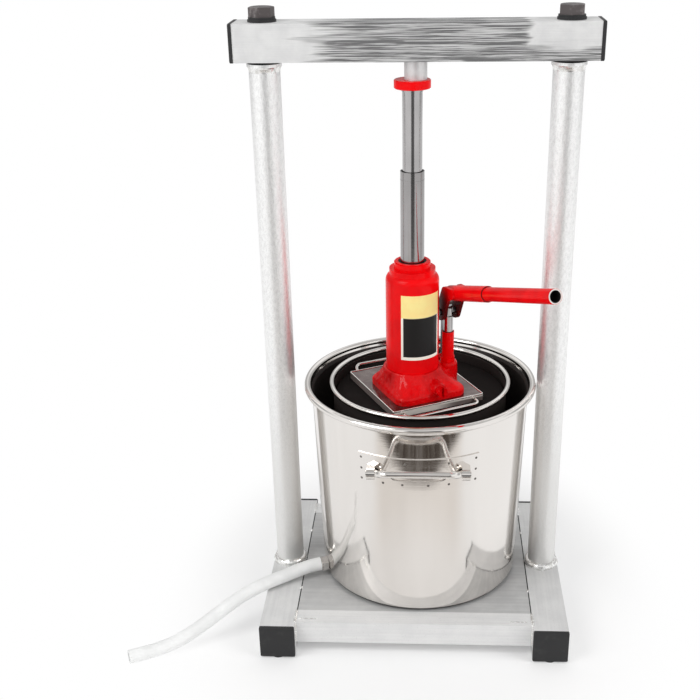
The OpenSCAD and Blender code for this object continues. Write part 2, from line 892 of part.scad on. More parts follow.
module jack_base() {
    skirt_low = base_w / 2 - 2;
    skirt_high = reservoir_d / 2 + 3;
    valve_y = base_y - base_w / 2;
    link_mid = lug_half + link_t / 2 + link_gap;
    color("red")
        at_jack()
            difference() {
                union() {
                    translate([base_x, base_y, 0]) round_block(base_w, base_w, base_h, base_corner);
                    translate([0, 0, base_h - eps])
                        cylinder(r1 = skirt_low, r2 = skirt_high, h = skirt_h - base_h + eps);
                    translate([pump_x, 0, 0]) cylinder(d = boss_d, h = boss_h);
                    translate([0, -boss_d / 2, 0]) cube([pump_x, boss_d, base_seat]);
                    translate([pump_x - lug_half, 0, 0])
                        cube([2 * lug_half, -link_foot_at[0], base_seat]);
                    translate([pump_x, -link_foot_at[0], 0])
                        rotate([0, 90, 0])
                            translate([-base_seat, 0, -lug_half]) cylinder(r = link_r, h = 2 * lug_half);
                    translate([pump_x - lug_half, -link_foot_at[0] - link_r, 0])
                        cube([2 * lug_half, 2 * link_r, base_seat]);
                    translate([valve_x, valve_y + valve_in, valve_z])
                        rotate([90, 0, 0]) cylinder(d = valve_head_d + 4, h = valve_in + valve_out);
                }
                translate([0, 0, base_seat]) cylinder(d = reservoir_d + 2 * fit_gap, h = skirt_h);
                translate([pump_x, 0, pump_seat]) cylinder(d = pump_d + 2 * fit_gap, h = boss_h);
                translate([pump_x, 0, ball_z]) cylinder(d = ball_d + 2 * loose_gap, h = boss_h);
                translate([0, 0, ball_z]) cylinder(d = ball_d + 2 * loose_gap, h = boss_h);
                translate([0, 0, ball_z + ball_d + 1]) rotate([0, 90, 0]) cylinder(d = duct_d, h = pump_x);
                translate([pump_x - boss_d, -link_foot_at[0], base_seat])
                    rotate([0, 90, 0]) cylinder(d = fulcrum_pin_d + 2 * fit_gap, h = 2 * boss_d);
                translate([valve_x, valve_y + valve_in - 2, valve_z])
                    rotate([90, 0, 0]) cylinder(d = valve_d + 2 * run_gap, h = valve_in + 2 * valve_out);
                for (side = [-1, 1])
                    translate([pump_x + side * link_mid, -link_foot_at[0], base_seat])
                        cube([link_t + 2 * link_gap, 4 * link_r, 2 * link_r + 2], center = true);
                translate([-base_w, -base_w, -base_h]) cube([2 * base_w, 2 * base_w, base_h]);
            }
}

module jack_reservoir() {
    color("red")
        at_jack()
            difference() {
                translate([0, 0, base_seat])
                    pipe(reservoir_d, reservoir_d - 2 * reservoir_wall, reservoir_h);
                translate([0, 0, plug_z])
                    rotate([-90, 0, 0]) cylinder(d = plug_d + 2 * fit_gap, h = reservoir_d);
            }
}

module pressure_cylinder() {
    bore = outer_ram_d + 2 * run_gap;
    color("gray")
        at_jack()
            translate([0, 0, base_seat]) pipe(bore + 2 * cylinder_wall, bore, reservoir_h - nut_plug - 1);
}

module top_nut() {
    skirt_r = reservoir_d / 2;
    plug_r = skirt_r - reservoir_wall - fit_gap;
    ram_r = outer_ram_d / 2 + run_gap;
    shoulder = 9;
    step = 7;
    color("red")
        at_jack()
            translate([0, 0, nut_z])
                rotate_extrude()
                    difference() {
                        union() {
                            translate([0, -nut_plug]) square([plug_r, nut_plug + eps]);
                            square([skirt_r - shoulder, shoulder]);
                            translate([skirt_r - shoulder, 0])
                                intersection() {
                                    circle(r = shoulder);
                                    square(shoulder);
                                }
                            square([nut_mid_d / 2, nut_h - step - 1]);
                            square([nut_step_d / 2 - 1, nut_h]);
                            square([nut_step_d / 2, nut_h - 1]);
                        }
                        translate([0, -2 * nut_plug]) square([ram_r, 2 * nut_h]);
                        translate([0, nut_h - wiper_h]) square([ram_r + wiper_w, wiper_h + 1]);
                    }
}

module ram_seal() {
    ram_r = outer_ram_d / 2 + run_gap;
    recess = 0.8;
    color("black")
        at_jack()
            translate([0, 0, nut_top - wiper_h])
                pipe(2 * (ram_r + wiper_w - fit_gap), 2 * ram_r, wiper_h - recess);
}

module outer_ram() {
    bore_r = inner_ram_d / 2 + run_gap;
    groove_z = 9;
    groove_h = 1;
    groove_depth = 0.3;
    color("lightgray")
        at_jack()
            translate([0, 0, outer_ram_foot])
                difference() {
                    cylinder(d = outer_ram_d, h = outer_ram_len);
                    translate([0, 0, outer_ram_floor]) cylinder(r = bore_r, h = outer_ram_len);
                    translate([0, 0, outer_ram_len - wiper_h])
                        cylinder(r = bore_r + inner_wiper_w, h = wiper_h + 1);
                    translate([0, 0, outer_ram_len - groove_z])
                        pipe(outer_ram_d + 2, outer_ram_d - 2 * groove_depth, groove_h);
                }
}

module inner_ram_seal() {
    bore_r = inner_ram_d / 2 + run_gap;
    color("darkred")
        at_jack()
            translate([0, 0, outer_ram_top - wiper_h])
                pipe(2 * (bore_r + inner_wiper_w - fit_gap), 2 * bore_r, wiper_h);
}

module inner_ram() {
    color("lightgray")
        at_jack() {
            translate([0, 0, inner_ram_foot]) cylinder(d = inner_ram_d, h = saddle_z - inner_ram_foot);
            translate([0, 0, saddle_z - neck_h]) cylinder(d = neck_d, h = neck_h);
            translate([0, 0, saddle_z - eps]) cylinder(d = tang_d, h = tang_h + eps);
        }
}

module saddle() {
    chamfer = 0.8;
    r = saddle_d / 2;
    color("red")
        at_jack()
            translate([0, 0, saddle_z])
                difference() {
                    rotate_extrude()
                        polygon([
                            [0, 0], [r - chamfer, 0], [r, chamfer], [r, saddle_h - chamfer],
                            [r - chamfer, saddle_h], [0, saddle_h]
                        ]);
                    translate([0, 0, -1]) cylinder(d = tang_d + 2 * fit_gap, h = tang_h + fit_gap + 1);
                }
}

// Pump

module pump_cylinder() {
    bore = plunger_d + 2 * run_gap;
    collar_h = 5;
    color("red")
        at_jack()
            translate([pump_x, 0, 0])
                difference() {
                    union() {
                        translate([0, 0, pump_seat]) cylinder(d = pump_d, h = pump_top - pump_seat);
                        translate([0, 0, boss_h]) cylinder(d = pump_d + 4, h = collar_h, $fn = 6);
                    }
                    translate([0, 0, pump_seat - 1]) cylinder(d = bore, h = pump_top);
                    translate([0, 0, pump_top - plunger_seal_h])
                        cylinder(d = bore + 2 * plunger_seal_w, h = plunger_seal_h + 1);
                }
}

module plunger_seal() {
    bore = plunger_d + 2 * run_gap;
    color("black")
        at_jack()
            translate([pump_x, 0, pump_top - plunger_seal_h])
                pipe(bore + 2 * plunger_seal_w - 2 * fit_gap, bore, plunger_seal_h);
}

module pump_plunger() {
    color("lightgray")
        at_jack()
            translate([pump_x, 0, 0])
                difference() {
                    union() {
                        translate([0, 0, plunger_foot])
                            cylinder(d = plunger_d, h = plunger_pin_z - plunger_eye_r - plunger_foot);
                        intersection() {
                            translate([0, 0, plunger_pin_z])
                                rotate([0, 90, 0])
                                    cylinder(r = plunger_eye_r + 1, h = 2 * plunger_eye_r, center = true);
                            translate([0, 0, plunger_foot]) cylinder(d = plunger_d, h = plunger_pin_z);
                        }
                    }
                    translate([0, 0, plunger_pin_z])
                        rotate([0, 90, 0])
                            cylinder(d = plunger_pin_d + 2 * fit_gap, h = 2 * plunger_d, center = true);
                }
}

module plunger_pin() {
    half = cheek_out + pin_over;
    color("silver")
        at_pump()
            translate([plunger_pin_at[0], plunger_pin_at[1], -half])
                cylinder(d = plunger_pin_d, h = 2 * half);
}

module fulcrum_links() {
    inner = lug_half + link_gap;
    color("dimgray")
        at_pump()
            for (low = [inner, -inner - link_t])
                translate([0, 0, low])
                    linear_extrude(link_t)
                        difference() {
                            link_outline(link_foot_at, fulcrum_at, link_r, link_r);
                            translate(link_foot_at) circle(d = fulcrum_pin_d + 2 * fit_gap);
                            translate(fulcrum_at) circle(d = fulcrum_pin_d + 2 * fit_gap);
                        }
}

module fulcrum_pins() {
    foot_half = lug_half + link_gap + link_t + pin_over;
    top_half = cheek_out + pin_over;
    color("silver")
        at_pump() {
            translate([link_foot_at[0], link_foot_at[1], -foot_half])
                cylinder(d = fulcrum_pin_d, h = 2 * foot_half);
            translate([fulcrum_at[0], fulcrum_at[1], -top_half])
                cylinder(d = fulcrum_pin_d, h = 2 * top_half);
        }
}

module cheek_outline() {
    along = unit(plunger_pin_at - fulcrum_at);
    slot = plunger_pin_d / 2 + slot_side;
    tube_dir = [cos(handle_tilt), sin(handle_tilt)];
    near = socket_at + 6 * tube_dir;
    far = socket_at + 20 * tube_dir;
    difference() {
        union() {
            link_outline(fulcrum_at, plunger_pin_at, cheek_r, cheek_r + 1);
            link_outline(plunger_pin_at, near, cheek_r + 1, socket_d / 2);
            link_outline(near, far, socket_d / 2, socket_d / 3);
        }
        translate(fulcrum_at) circle(d = fulcrum_pin_d + 2 * run_gap);
        link_outline(plunger_pin_at - slot_play * along, plunger_pin_at + slot_play * along, slot, slot);
    }
}

module lever_socket() {
    color("red") {
        at_pump()
            for (low = [cheek_in, -cheek_out])
                translate([0, 0, low]) linear_extrude(cheek_t) cheek_outline();
        in_socket()
            difference() {
                cylinder(d = socket_d, h = socket_len);
                translate([0, 0, socket_bore_from])
                    cylinder(d = handle_d + 2 * run_gap, h = socket_len);
            }
    }
}

module handle_tube() {
    color("red")
        in_socket()
            translate([0, 0, socket_bore_from]) pipe(handle_d, handle_d - 2 * handle_wall, handle_len);
}

module release_valve() {
    head_y = base_y - base_w / 2 - valve_out;
    head_gap = 0.3;
    color("silver")
        at_jack()
            translate([valve_x, head_y, valve_z])
                rotate([90, 0, 0])
                    difference() {
                        union() {
                            translate([0, 0, -valve_in]) cylinder(d = valve_d, h = valve_in + 1);
                            translate([0, 0, head_gap]) cylinder(d = valve_head_d, h = valve_head_h);
                        }
                        translate([0, 0, valve_head_h])
                            cube([valve_slot, 2 * valve_head_d, valve_head_h], center = true);
                    }
}

module filler_plug() {
    head_d = plug_d + 4;
    head_h = 2.5;
    inside = 4;
    outer_r = reservoir_d / 2;
    color("black")
        at_jack()
            translate([0, 0, plug_z])
                rotate([-90, 0, 0]) {
                    translate([0, 0, outer_r - reservoir_wall - inside])
                        cylinder(d = plug_d, h = reservoir_wall + inside + 1);
                    translate([0, 0, outer_r + fit_gap]) cylinder(d = head_d, h = head_h);
                }
}

module check_balls() {
    color("silver")
        at_jack()
            for (x = [0, pump_x])
                translate([x, 0, ball_z + ball_d / 2 + fit_gap / 2]) sphere(d = ball_d);
}

module label_panel() {
    inner_r = reservoir_d / 2 + fit_gap / 2;
    color("khaki")
        at_jack()
            translate([0, 0, label_z])
                rotate(-90 - label_span / 2)
                    rotate_extrude(angle = label_span) translate([inner_r, 0]) square([label_t, label_h]);
}

left_rail();
right_rail();
rail_end_caps();
rubber_feet();
front_crossbar();
rear_crossbar();
base_plate();
left_column();
right_column();
column_welds();
column_plugs();
beam_pads();
crossbeam();
beam_end_caps();
beam_bolts();
flat_washers();
spring_washers();
thrust_stub();
outer_barrel();
front_handle_plate();
rear_handle_plate();
front_bail();
rear_bail();
drain_spout();
spout_nut();
drain_hose();
basket();
press_plate();
jack_seat();
seat_handles();
jack_base();
jack_reservoir();
pressure_cylinder();
top_nut();
ram_seal();
outer_ram();
inner_ram_seal();
inner_ram();
saddle();
pump_cylinder();
plunger_seal();
pump_plunger();
plunger_pin();
fulcrum_links();
fulcrum_pins();
lever_socket();
handle_tube();
release_valve();
filler_plug();
check_balls();
label_panel();
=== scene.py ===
"""Looks of a hydraulic fruit press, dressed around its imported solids.

Lengths are metres in the solids' own frame: X right, Y back, Z up from the floor.
"""

import logging
import math
from dataclasses import dataclass, replace
from enum import Enum
from functools import cache
from typing import Any, Callable, ClassVar, Sequence, Union

import bmesh
import bpy
import numpy as np
from mathutils import Matrix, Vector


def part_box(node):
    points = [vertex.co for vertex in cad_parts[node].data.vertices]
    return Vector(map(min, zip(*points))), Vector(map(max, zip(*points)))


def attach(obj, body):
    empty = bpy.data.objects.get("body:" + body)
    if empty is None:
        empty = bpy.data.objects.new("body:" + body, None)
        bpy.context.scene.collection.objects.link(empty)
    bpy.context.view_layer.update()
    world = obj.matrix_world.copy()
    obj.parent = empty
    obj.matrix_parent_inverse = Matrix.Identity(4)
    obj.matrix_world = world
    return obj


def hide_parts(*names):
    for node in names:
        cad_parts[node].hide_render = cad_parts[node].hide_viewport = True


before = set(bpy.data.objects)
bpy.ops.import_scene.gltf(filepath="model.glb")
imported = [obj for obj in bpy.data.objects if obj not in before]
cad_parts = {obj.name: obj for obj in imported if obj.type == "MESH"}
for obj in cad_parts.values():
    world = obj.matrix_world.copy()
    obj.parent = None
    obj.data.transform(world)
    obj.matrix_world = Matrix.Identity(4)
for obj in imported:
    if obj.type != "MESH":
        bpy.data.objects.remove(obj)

log = logging.getLogger("fruit_press")
Array = np.ndarray
Colour = tuple[float, float, float]
Place = tuple[float, float, float]
Pair = tuple[float, float]
Table = tuple[tuple[float, ...], ...]
Grain = tuple[Union[float, Place], float, float]
Sockets = dict[str, Any]
TAU = 2.0 * math.pi
MM = 0.001
UP = (0.0, 0.0, 1.0)
SAME_POINT = 1e-6
CREASE = math.radians(40)
END_BAND = 0.1 * MM
# A weld bead's height for its half width, the dip between its scales, how blunt it ends, and its points.
BEAD_RISE = 0.55
BEAD_DIP = 0.25
BEAD_BLUNT = 8
BEAD_STEPS = 8
BEAD_POINTS = 13


class Body(Enum):
    """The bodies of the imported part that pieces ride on."""

    ROOT = "root"
    JACK = "jack"
    LEVER = "pump_lever"
    HANDLE = "handle_tube"


class Ray(Enum):
    """The kinds of ray that the floor and the world tell apart."""

    CAMERA = "Is Camera Ray"
    GLOSSY = "Is Glossy Ray"
    THROUGH = "Is Transmission Ray"


# Surfaces


def unit(vectors: Array) -> Array:
    """Vectors (..., 3) brought to length 1."""
    return vectors / np.linalg.norm(vectors, axis=-1, keepdims=True)


@dataclass
class Shell:
    """A surface as whole arrays: points (n, 3), quads (m, 4) and an optional UV for each point."""

    points: Array
    quads: Array
    uv: Union[Array, None] = None

    def moved(self, offset: Sequence[float]) -> "Shell":
        """Returns the same surface shifted by offset."""
        return replace(self, points=self.points + np.asarray(offset, float))

    def turned(self, degrees: float) -> "Shell":
        """Returns the same surface turned about the Z axis."""
        c, s = math.cos(math.radians(degrees)), math.sin(math.radians(degrees))
        return replace(self, points=self.points @ np.array([[c, s, 0.0], [-s, c, 0.0], UP]))

    def aimed(self, axis: Array) -> "Shell":
        """Returns the same surface with its Z axis turned to a direction."""
        side = unit(np.cross(UP, axis))
        return replace(self, points=self.points @ np.stack([side, np.cross(axis, side), axis]))

    def mesh(self, name: str) -> Any:
        """Returns a new mesh of the surface."""
        mesh = bpy.data.meshes.new(name)
        mesh.from_pydata(self.points.tolist(), [], self.quads.tolist())
        return mesh

    @staticmethod
    def joined(shells: Sequence["Shell"]) -> "Shell":
        """Joins several surfaces, with the quads' indices shifted to match.

        Args:
            shells: the surfaces.

        Returns:
            One surface, without UV.
        """
        starts = np.cumsum([0] + [len(s.points) for s in shells[:-1]])
        points = np.concatenate([s.points for s in shells])
        quads = np.concatenate([s.quads + start for s, start in zip(shells, starts)])
        return Shell(points, quads)


def grid_quads(rows: int, cols: int, wrap_rows: bool, wrap_cols: bool) -> Array:
    """Quads of a grid of rows x cols points, where point (i, j) has the index i * cols + j.

    Args:
        rows: points along the first parameter.
        cols: points along the second parameter.
        wrap_rows: whether the last row joins the first.
        wrap_cols: whether the last column joins the first.

    Returns:
        The quads' indices, (m, 4).
    """
    i, j = np.meshgrid(
        np.arange(rows if wrap_rows else rows - 1),
        np.arange(cols if wrap_cols else cols - 1),
        indexing="ij",
    )
    below, beside = (i + 1) % rows, (j + 1) % cols
    corners = [i * cols + j, i * cols + beside, below * cols + beside, below * cols + j]
    return np.stack(corners, axis=-1).reshape(-1, 4)


def grid_shell(points: Array, wrap_rows: bool = False, wrap_cols: bool = False) -> Shell:
    """Makes a shell of a grid of points, with its two parameters as UV.

    Args:
        points: the grid, (rows, cols, 3).
        wrap_rows: whether the last row joins the first.
        wrap_cols: whether the last column joins the first.

    Returns:
        The shell.
    """
    rows, cols = points.shape[:2]
    v, u = np.meshgrid(np.linspace(0, 1, rows), np.linspace(0, 1, cols), indexing="ij")
    uv = np.stack([u, v], axis=-1).reshape(-1, 2)
    return Shell(points.reshape(-1, 3), grid_quads(rows, cols, wrap_rows, wrap_cols), uv)


def revolved(profile: Array, segments: int, closed: bool = False) -> Shell:
    """Turns a profile (k, 2) of radius and height about the Z axis.

    The point at height row i and angle t is (r_i cos t, r_i sin t, z_i).

    Args:
        profile: radius and height of each point.
        segments: steps round the axis.
        closed: whether the profile's end joins its start.

    Returns:
        The surface, round the origin.
    """
    t = np.arange(segments) / segments * TAU
    r, z = profile[:, :1], profile[:, 1:]
    points = np.stack([r * np.cos(t), r * np.sin(t), z + 0.0 * t], axis=-1)
    return grid_shell(points, wrap_rows=closed, wrap_cols=True)


def arc(centre: Sequence[float], radius: float, start: float, end: float, steps: int) -> Array:
    """Points (steps, 2) of a circular arc between two angles in degrees."""
    t = np.radians(np.linspace(start, end, steps))
    return np.stack([centre[0] + radius * np.cos(t), centre[1] + radius * np.sin(t)], axis=-1)


def smooth_route(knots: Array, steps: int) -> Array:
    """Catmull-Rom curve through the knots, evaluated for all its spans at once.

    On each span the point is 0.5 (2 b + (c - a) t + (2a - 5b + 4c - d) t^2 + (3b - a - 3c + d) t^3).

    Args:
        knots: the points that the curve goes through, (n, 3).
        steps: points on each span.

    Returns:
        The curve's points.
    """
    padded = np.concatenate([[2 * knots[0] - knots[1]], knots, [2 * knots[-1] - knots[-2]]])
    a, b, c, d = (padded[i : len(padded) - 3 + i, None, :] for i in range(4))
    t = np.linspace(0, 1, steps, endpoint=False)[None, :, None]
    spans = 2 * b + (c - a) * t + (2 * a - 5 * b + 4 * c - d) * t**2 + (3 * b - a - 3 * c + d) * t**3
    return np.concatenate([0.5 * spans.reshape(-1, 3), knots[-1:]])


def swept(route: Array, radii: Array, sides: int) -> Array:
    """Rings of points round a route: point k of ring i is p_i + r_i (cos t_k side_i + sin t_k up_i).

    Args:
        route: the points to follow, (n, 3).
        radii: the radius at each point, (n,).
        sides: points on a ring.

    Returns:
        The rings as a grid (n, sides, 3).
    """
    ahead = unit(np.gradient(route, axis=0))
    side = unit(np.cross(ahead, UP))
    up = np.cross(side, ahead)
    t = (np.arange(sides) / sides * TAU)[None, :, None]
    ring = np.cos(t) * side[:, None, :] + np.sin(t) * up[:, None, :]
    return route[:, None, :] + radii[:, None, None] * ring


def box_of(node: str) -> tuple[Array, Array]:
    """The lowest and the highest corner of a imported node."""
    low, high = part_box(node)
    return np.array(low), np.array(high)


def middle_of(node: str) -> Array:
    """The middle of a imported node's box."""
    return sum(box_of(node)) / 2


def tube_end(node: str, axis: Union[Array, None] = None) -> tuple[Array, Array, float, float]:
    """Finds the front end of a packed tube.

    The tube's axis is the direction in which its points spread most, turned to the front, and the end is
    where they lie furthest along it.

    Args:
        node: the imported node's name.
        axis: the tube's axis, where it is known.

    Returns:
        The axis, the end's middle, and the least and the greatest radius there.
    """
    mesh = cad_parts[node].data
    points = np.zeros(3 * len(mesh.vertices))
    mesh.vertices.foreach_get("co", points)
    points = points.reshape(-1, 3)
    if axis is None:
        axis = np.linalg.eigh(np.cov(points.T))[1][:, -1]
        axis = axis if axis[1] < 0 else -axis
    along = points @ axis
    ring = points[along > along.max() - END_BAND]
    middle = (ring.min(0) + ring.max(0)) / 2
    reach = np.linalg.norm(ring - middle, axis=1)
    return axis, middle, float(reach.min()), float(reach.max())


def shares(values: Array) -> Array:
    """Values between the first and the last of a row, as shares from 0 to 1."""
    return (values - values[0]) / (values[-1] - values[0])


def bead_run(start: Place, end: Place, up: Place, width: float, scales: int) -> Shell:
    """A weld bead between two points, laid in overlapping scales.

    At share s of the run and angle t across it, the point is p(s) + w(s) (cos t side + rise sin t up),
    where w(s) = width (1 - dip + dip |sin(scales pi s)|) (1 - |2 s - 1|^blunt)^0.5.

    Args:
        start: where the run begins.
        end: where it ends.
        up: the direction that it stands out to.
        width: half its width.
        scales: how many scales it has.

    Returns:
        The bead's surface.
    """
    share = np.linspace(0.0, 1.0, BEAD_STEPS * scales + 1)
    t = np.linspace(0.0, math.pi, BEAD_POINTS)
    first, run = np.asarray(start, float), np.subtract(end, start)
    side = np.cross(unit(run), up)
    wide = width * (1.0 - BEAD_DIP + BEAD_DIP * np.abs(np.sin(scales * math.pi * share)))
    wide = wide * np.sqrt(1.0 - np.abs(2.0 * share - 1.0) ** BEAD_BLUNT)
    ring = np.cos(t)[:, None] * side + BEAD_RISE * np.sin(t)[:, None] * np.asarray(up, float)
    return grid_shell(first + share[:, None, None] * run + wide[:, None, None] * ring[None])


def link_new(name: str, data: Any, axes: Union[Array, None] = None) -> Any:
    """Links a new object to the scene.

    Args:
        name: its name.
        data: its mesh, lens or light.
        axes: its three axes and its place as columns (3, 4), where it isn't at the origin.

    Returns:
        The object.
    """
    made = bpy.data.objects.new(name, data)
    if axes is not None:
        made.matrix_world = Matrix([*axes.tolist(), [0, 0, 0, 1]])
    bpy.context.scene.collection.objects.link(made)
    return made


def add_piece(name: str, shape: Union[Shell, list[Shell]], body: Body, replaces: str = "") -> Any:
    """Puts a surface into a new object that rides on a body.

    Args:
        name: the piece's name.
        shape: its surface, or several to join; doubled points at seams and poles are merged.
        body: the body that it moves with.
        replaces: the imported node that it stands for.

    Returns:
        The object.
    """
    shell = Shell.joined(shape) if isinstance(shape, list) else shape
    mesh = shell.mesh(name)
    if shell.uv is not None:
        corner = np.zeros(len(mesh.loops), np.int32)
        mesh.loops.foreach_get("vertex_index", corner)
        layer = mesh.uv_layers.new(name="surface")
        layer.data.foreach_set("uv", shell.uv[corner].astype(np.float32).ravel())
    work = bmesh.new()
    work.from_mesh(mesh)
    bmesh.ops.remove_doubles(work, verts=work.verts, dist=SAME_POINT)
    bmesh.ops.recalc_face_normals(work, faces=work.faces)
    work.to_mesh(mesh)
    work.free()
    mesh.polygons.foreach_set("use_smooth", np.ones(len(mesh.polygons), bool))
    mesh.set_sharp_from_angle(angle=CREASE)
    piece = link_new(name, mesh)
    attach(piece, body.value)
    if replaces:
        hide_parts(replaces)
    log.info("piece %s on %s, %d faces", name, body.value, len(mesh.polygons))
    return piece


def dress(finish: "Finish", *things: Any) -> None:
    """Gives one finish to objects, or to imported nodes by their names.

    Args:
        finish: the finish, whose material they share.
        *things: the objects and names.
    """
    material = finish.material()
    for thing in things:
        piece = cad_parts[thing] if isinstance(thing, str) else thing
        piece.data.materials.clear()
        piece.data.materials.append(material)
        log.info("finish %s on %s", material.name, piece.name)


# Shader expressions


def maths(operation: str, swapped: bool = False) -> Callable[..., "Signal"]:
    """Makes a method of Signal that adds a Math node.

    Args:
        operation: the node's operation.
        swapped: whether the other value comes first, as in a reflected operator.

    Returns:
        The method, which takes the other values.
    """

    def method(self: "Signal", *others: Any) -> "Signal":
        """Adds the node for this value and others, which may be plain numbers."""
        values = (*others, self) if swapped else (self, *others)
        node = self.shade.node("ShaderNodeMath", {"operation": operation}, dict(enumerate(values)))
        return Signal(self.shade, node.outputs[0])

    return method


class Signal:
    """A value socket that takes part in Python arithmetic by adding Math nodes."""

    __add__ = __radd__ = maths("ADD")
    __sub__ = maths("SUBTRACT")
    __rsub__ = maths("SUBTRACT", swapped=True)
    __mul__ = __rmul__ = maths("MULTIPLY")
    __pow__ = maths("POWER")
    __abs__ = maths("ABSOLUTE")
    largest = maths("MAXIMUM")
    smallest = maths("MINIMUM")

    def __init__(self, shade: "Nodes", socket: Any) -> None:
        """Wraps an output socket of a node tree."""
        self.shade = shade
        self.socket = socket

    def step(self, low: float, high: float) -> "Signal":
        """A smooth step from 0 at low to 1 at high.

        Args:
            low: where it begins.
            high: where it ends.

        Returns:
            The step's value.
        """
        inputs = {"Value": self, "From Min": low, "From Max": high}
        node = self.shade.node("ShaderNodeMapRange", {"interpolation_type": "SMOOTHSTEP"}, inputs)
        return Signal(self.shade, node.outputs["Result"])


class Nodes:
    """Adds nodes to one node tree, of a material or of the world."""

    def __init__(self, tree: Any) -> None:
        """Empties a tree and works in it."""
        self.tree = tree
        self.tree.nodes.clear()

    def node(self, kind: str, settings: Union[dict, None] = None, inputs: Union[dict, None] = None) -> Any:
        """Adds any node.

        Args:
            kind: the node's type.
            settings: its own settings, set first.
            inputs: values, sockets or signals for its inputs, by name or number.

        Returns:
            The node.
        """
        made = self.tree.nodes.new(kind)
        for key, value in (settings or {}).items():
            setattr(made, key, value)
        for key, value in (inputs or {}).items():
            self.feed(made.inputs[key], value)
        return made

    def feed(self, socket: Any, value: Any) -> None:
        """Links a signal or socket to an input, or sets its value.

        Args:
            socket: the input.
            value: a signal, a socket, a number, a colour or a vector.
        """
        value = value.socket if isinstance(value, Signal) else value
        if isinstance(value, bpy.types.NodeSocket):
            self.tree.links.new(value, socket)
        elif socket.type == "RGBA":
            socket.default_value = (*value, 1.0)
        else:
            socket.default_value = value

    def axes(self, vector: Any) -> list[Signal]:
        """The three parts of a vector socket."""
        split = self.node("ShaderNodeSeparateXYZ", inputs={"Vector": vector})
        return [Signal(self, split.outputs[i]) for i in range(3)]

    def rays(self, *kinds: Ray) -> list[Signal]:
        """For each kind of ray, a signal that is 1 on such rays and 0 on others."""
        paths = self.node("ShaderNodeLightPath").outputs
        return [Signal(self, paths[kind.value]) for kind in kinds]


class Shade(Nodes):
    """Builds one procedural material round a Principled shader."""

    def __init__(self, name: str) -> None:
        """Starts an empty material of that name."""
        self.material = bpy.data.materials.new(name)
        self.material.use_nodes = True
        super().__init__(self.material.node_tree)
        self.shader = self.node("ShaderNodeBsdfPrincipled")
        self.output = self.node("ShaderNodeOutputMaterial", inputs={"Surface": self.shader.outputs[0]})

    def place(self, scale: Sequence[float] = (1, 1, 1), shift: Sequence[float] = (0, 0, 0)) -> Any:
        """Shifts and scales the Object coordinates.

        Args:
            scale: what each coordinate is multiplied by.
            shift: the place that becomes the origin.

        Returns:
            The vector socket.
        """
        source = self.node("ShaderNodeTexCoord").outputs["Object"]
        offset = [-a * b for a, b in zip(shift, scale)]
        inputs = {"Vector": source, "Scale": scale, "Location": offset}
        return self.node("ShaderNodeMapping", inputs=inputs).outputs["Vector"]

    def at(self, shift: Sequence[float] = (0, 0, 0)) -> list[Signal]:
        """The three Object coordinates, counted from a place."""
        return self.axes(self.place(shift=shift))

    def noise(self, scale: Union[float, Place], detail: float = 3.0, rough: float = 0.55) -> Signal:
        """Adds fractal noise on Object coordinates.

        Args:
            scale: how fine it is, as one number or as one for each axis.
            detail: how many octaves it has.
            rough: how strong the finer octaves are.

        Returns:
            The noise, from 0 to 1.
        """
        even = isinstance(scale, float)
        vector = self.place() if even else self.place(scale)
        inputs = {"Vector": vector, "Scale": scale if even else 1.0, "Detail": detail, "Roughness": rough}
        return Signal(self, self.node("ShaderNodeTexNoise", inputs=inputs).outputs["Fac"])

    def mixed(self, factor: Signal, first: Any, second: Any) -> Any:
        """A colour socket between two colours."""
        inputs = {"Factor": factor, 6: first, 7: second}
        return self.node("ShaderNodeMix", {"data_type": "RGBA"}, inputs).outputs[2]

    def relief(self, height: Signal, distance: float) -> Any:
        """A normal socket from a height between 0 and 1, distance metres deep."""
        inputs = {"Height": height, "Distance": distance, "Strength": 1.0}
        return self.node("ShaderNodeBump", inputs=inputs).outputs["Normal"]


# Finishes


@dataclass(frozen=True)
class Finish:
    """A named finish; each kind's paint method gives the sockets that its material is made with."""

    name: str

    @cache
    def material(self) -> Any:
        """Returns the finish's material, which is made once."""
        shade = Shade(self.name)
        for socket, value in self.paint(shade).items():
            shade.feed(shade.shader.inputs[socket.replace("_", " ")], value)
        return shade.material

    def paint(self, shade: Shade) -> Sockets:
        """Gives the shader's sockets by name, with underscores for spaces.

        Args:
            shade: the material's shade, for its nodes.

        Returns:
            What each socket is fed or set to.
        """
        raise NotImplementedError


@dataclass(frozen=True)
class SilverPaint(Finish):
    """Silver paint on a welded tube: fine lines along the tube, soft clouds and rubbed specks."""

    lines: Place
    light: Colour = (0.74, 0.74, 0.735)
    dark: Colour = (0.66, 0.66, 0.66)
    speck: Colour = (0.5, 0.5, 0.5)

    def paint(self, shade: Shade) -> Sockets:
        """Mixes two greys by clouds and lines, and rubs the specks into them."""
        lines = shade.noise(self.lines)
        specks = shade.noise(700.0, 2.0).step(0.6, 0.75)
        mask = (shade.noise(30.0, 4.0) * 0.6 + lines * 0.4).step(0.36, 0.64)
        grey = shade.mixed(mask, self.dark, self.light)
        return dict(
            Base_Color=shade.mixed(specks * 0.4, grey, self.speck),
            Metallic=0.2,
            Roughness=0.55 - mask * 0.1,
            Specular_IOR_Level=0.3,
            Normal=shade.relief(lines * 0.7 + specks * 0.3, 0.08 * MM),
        )


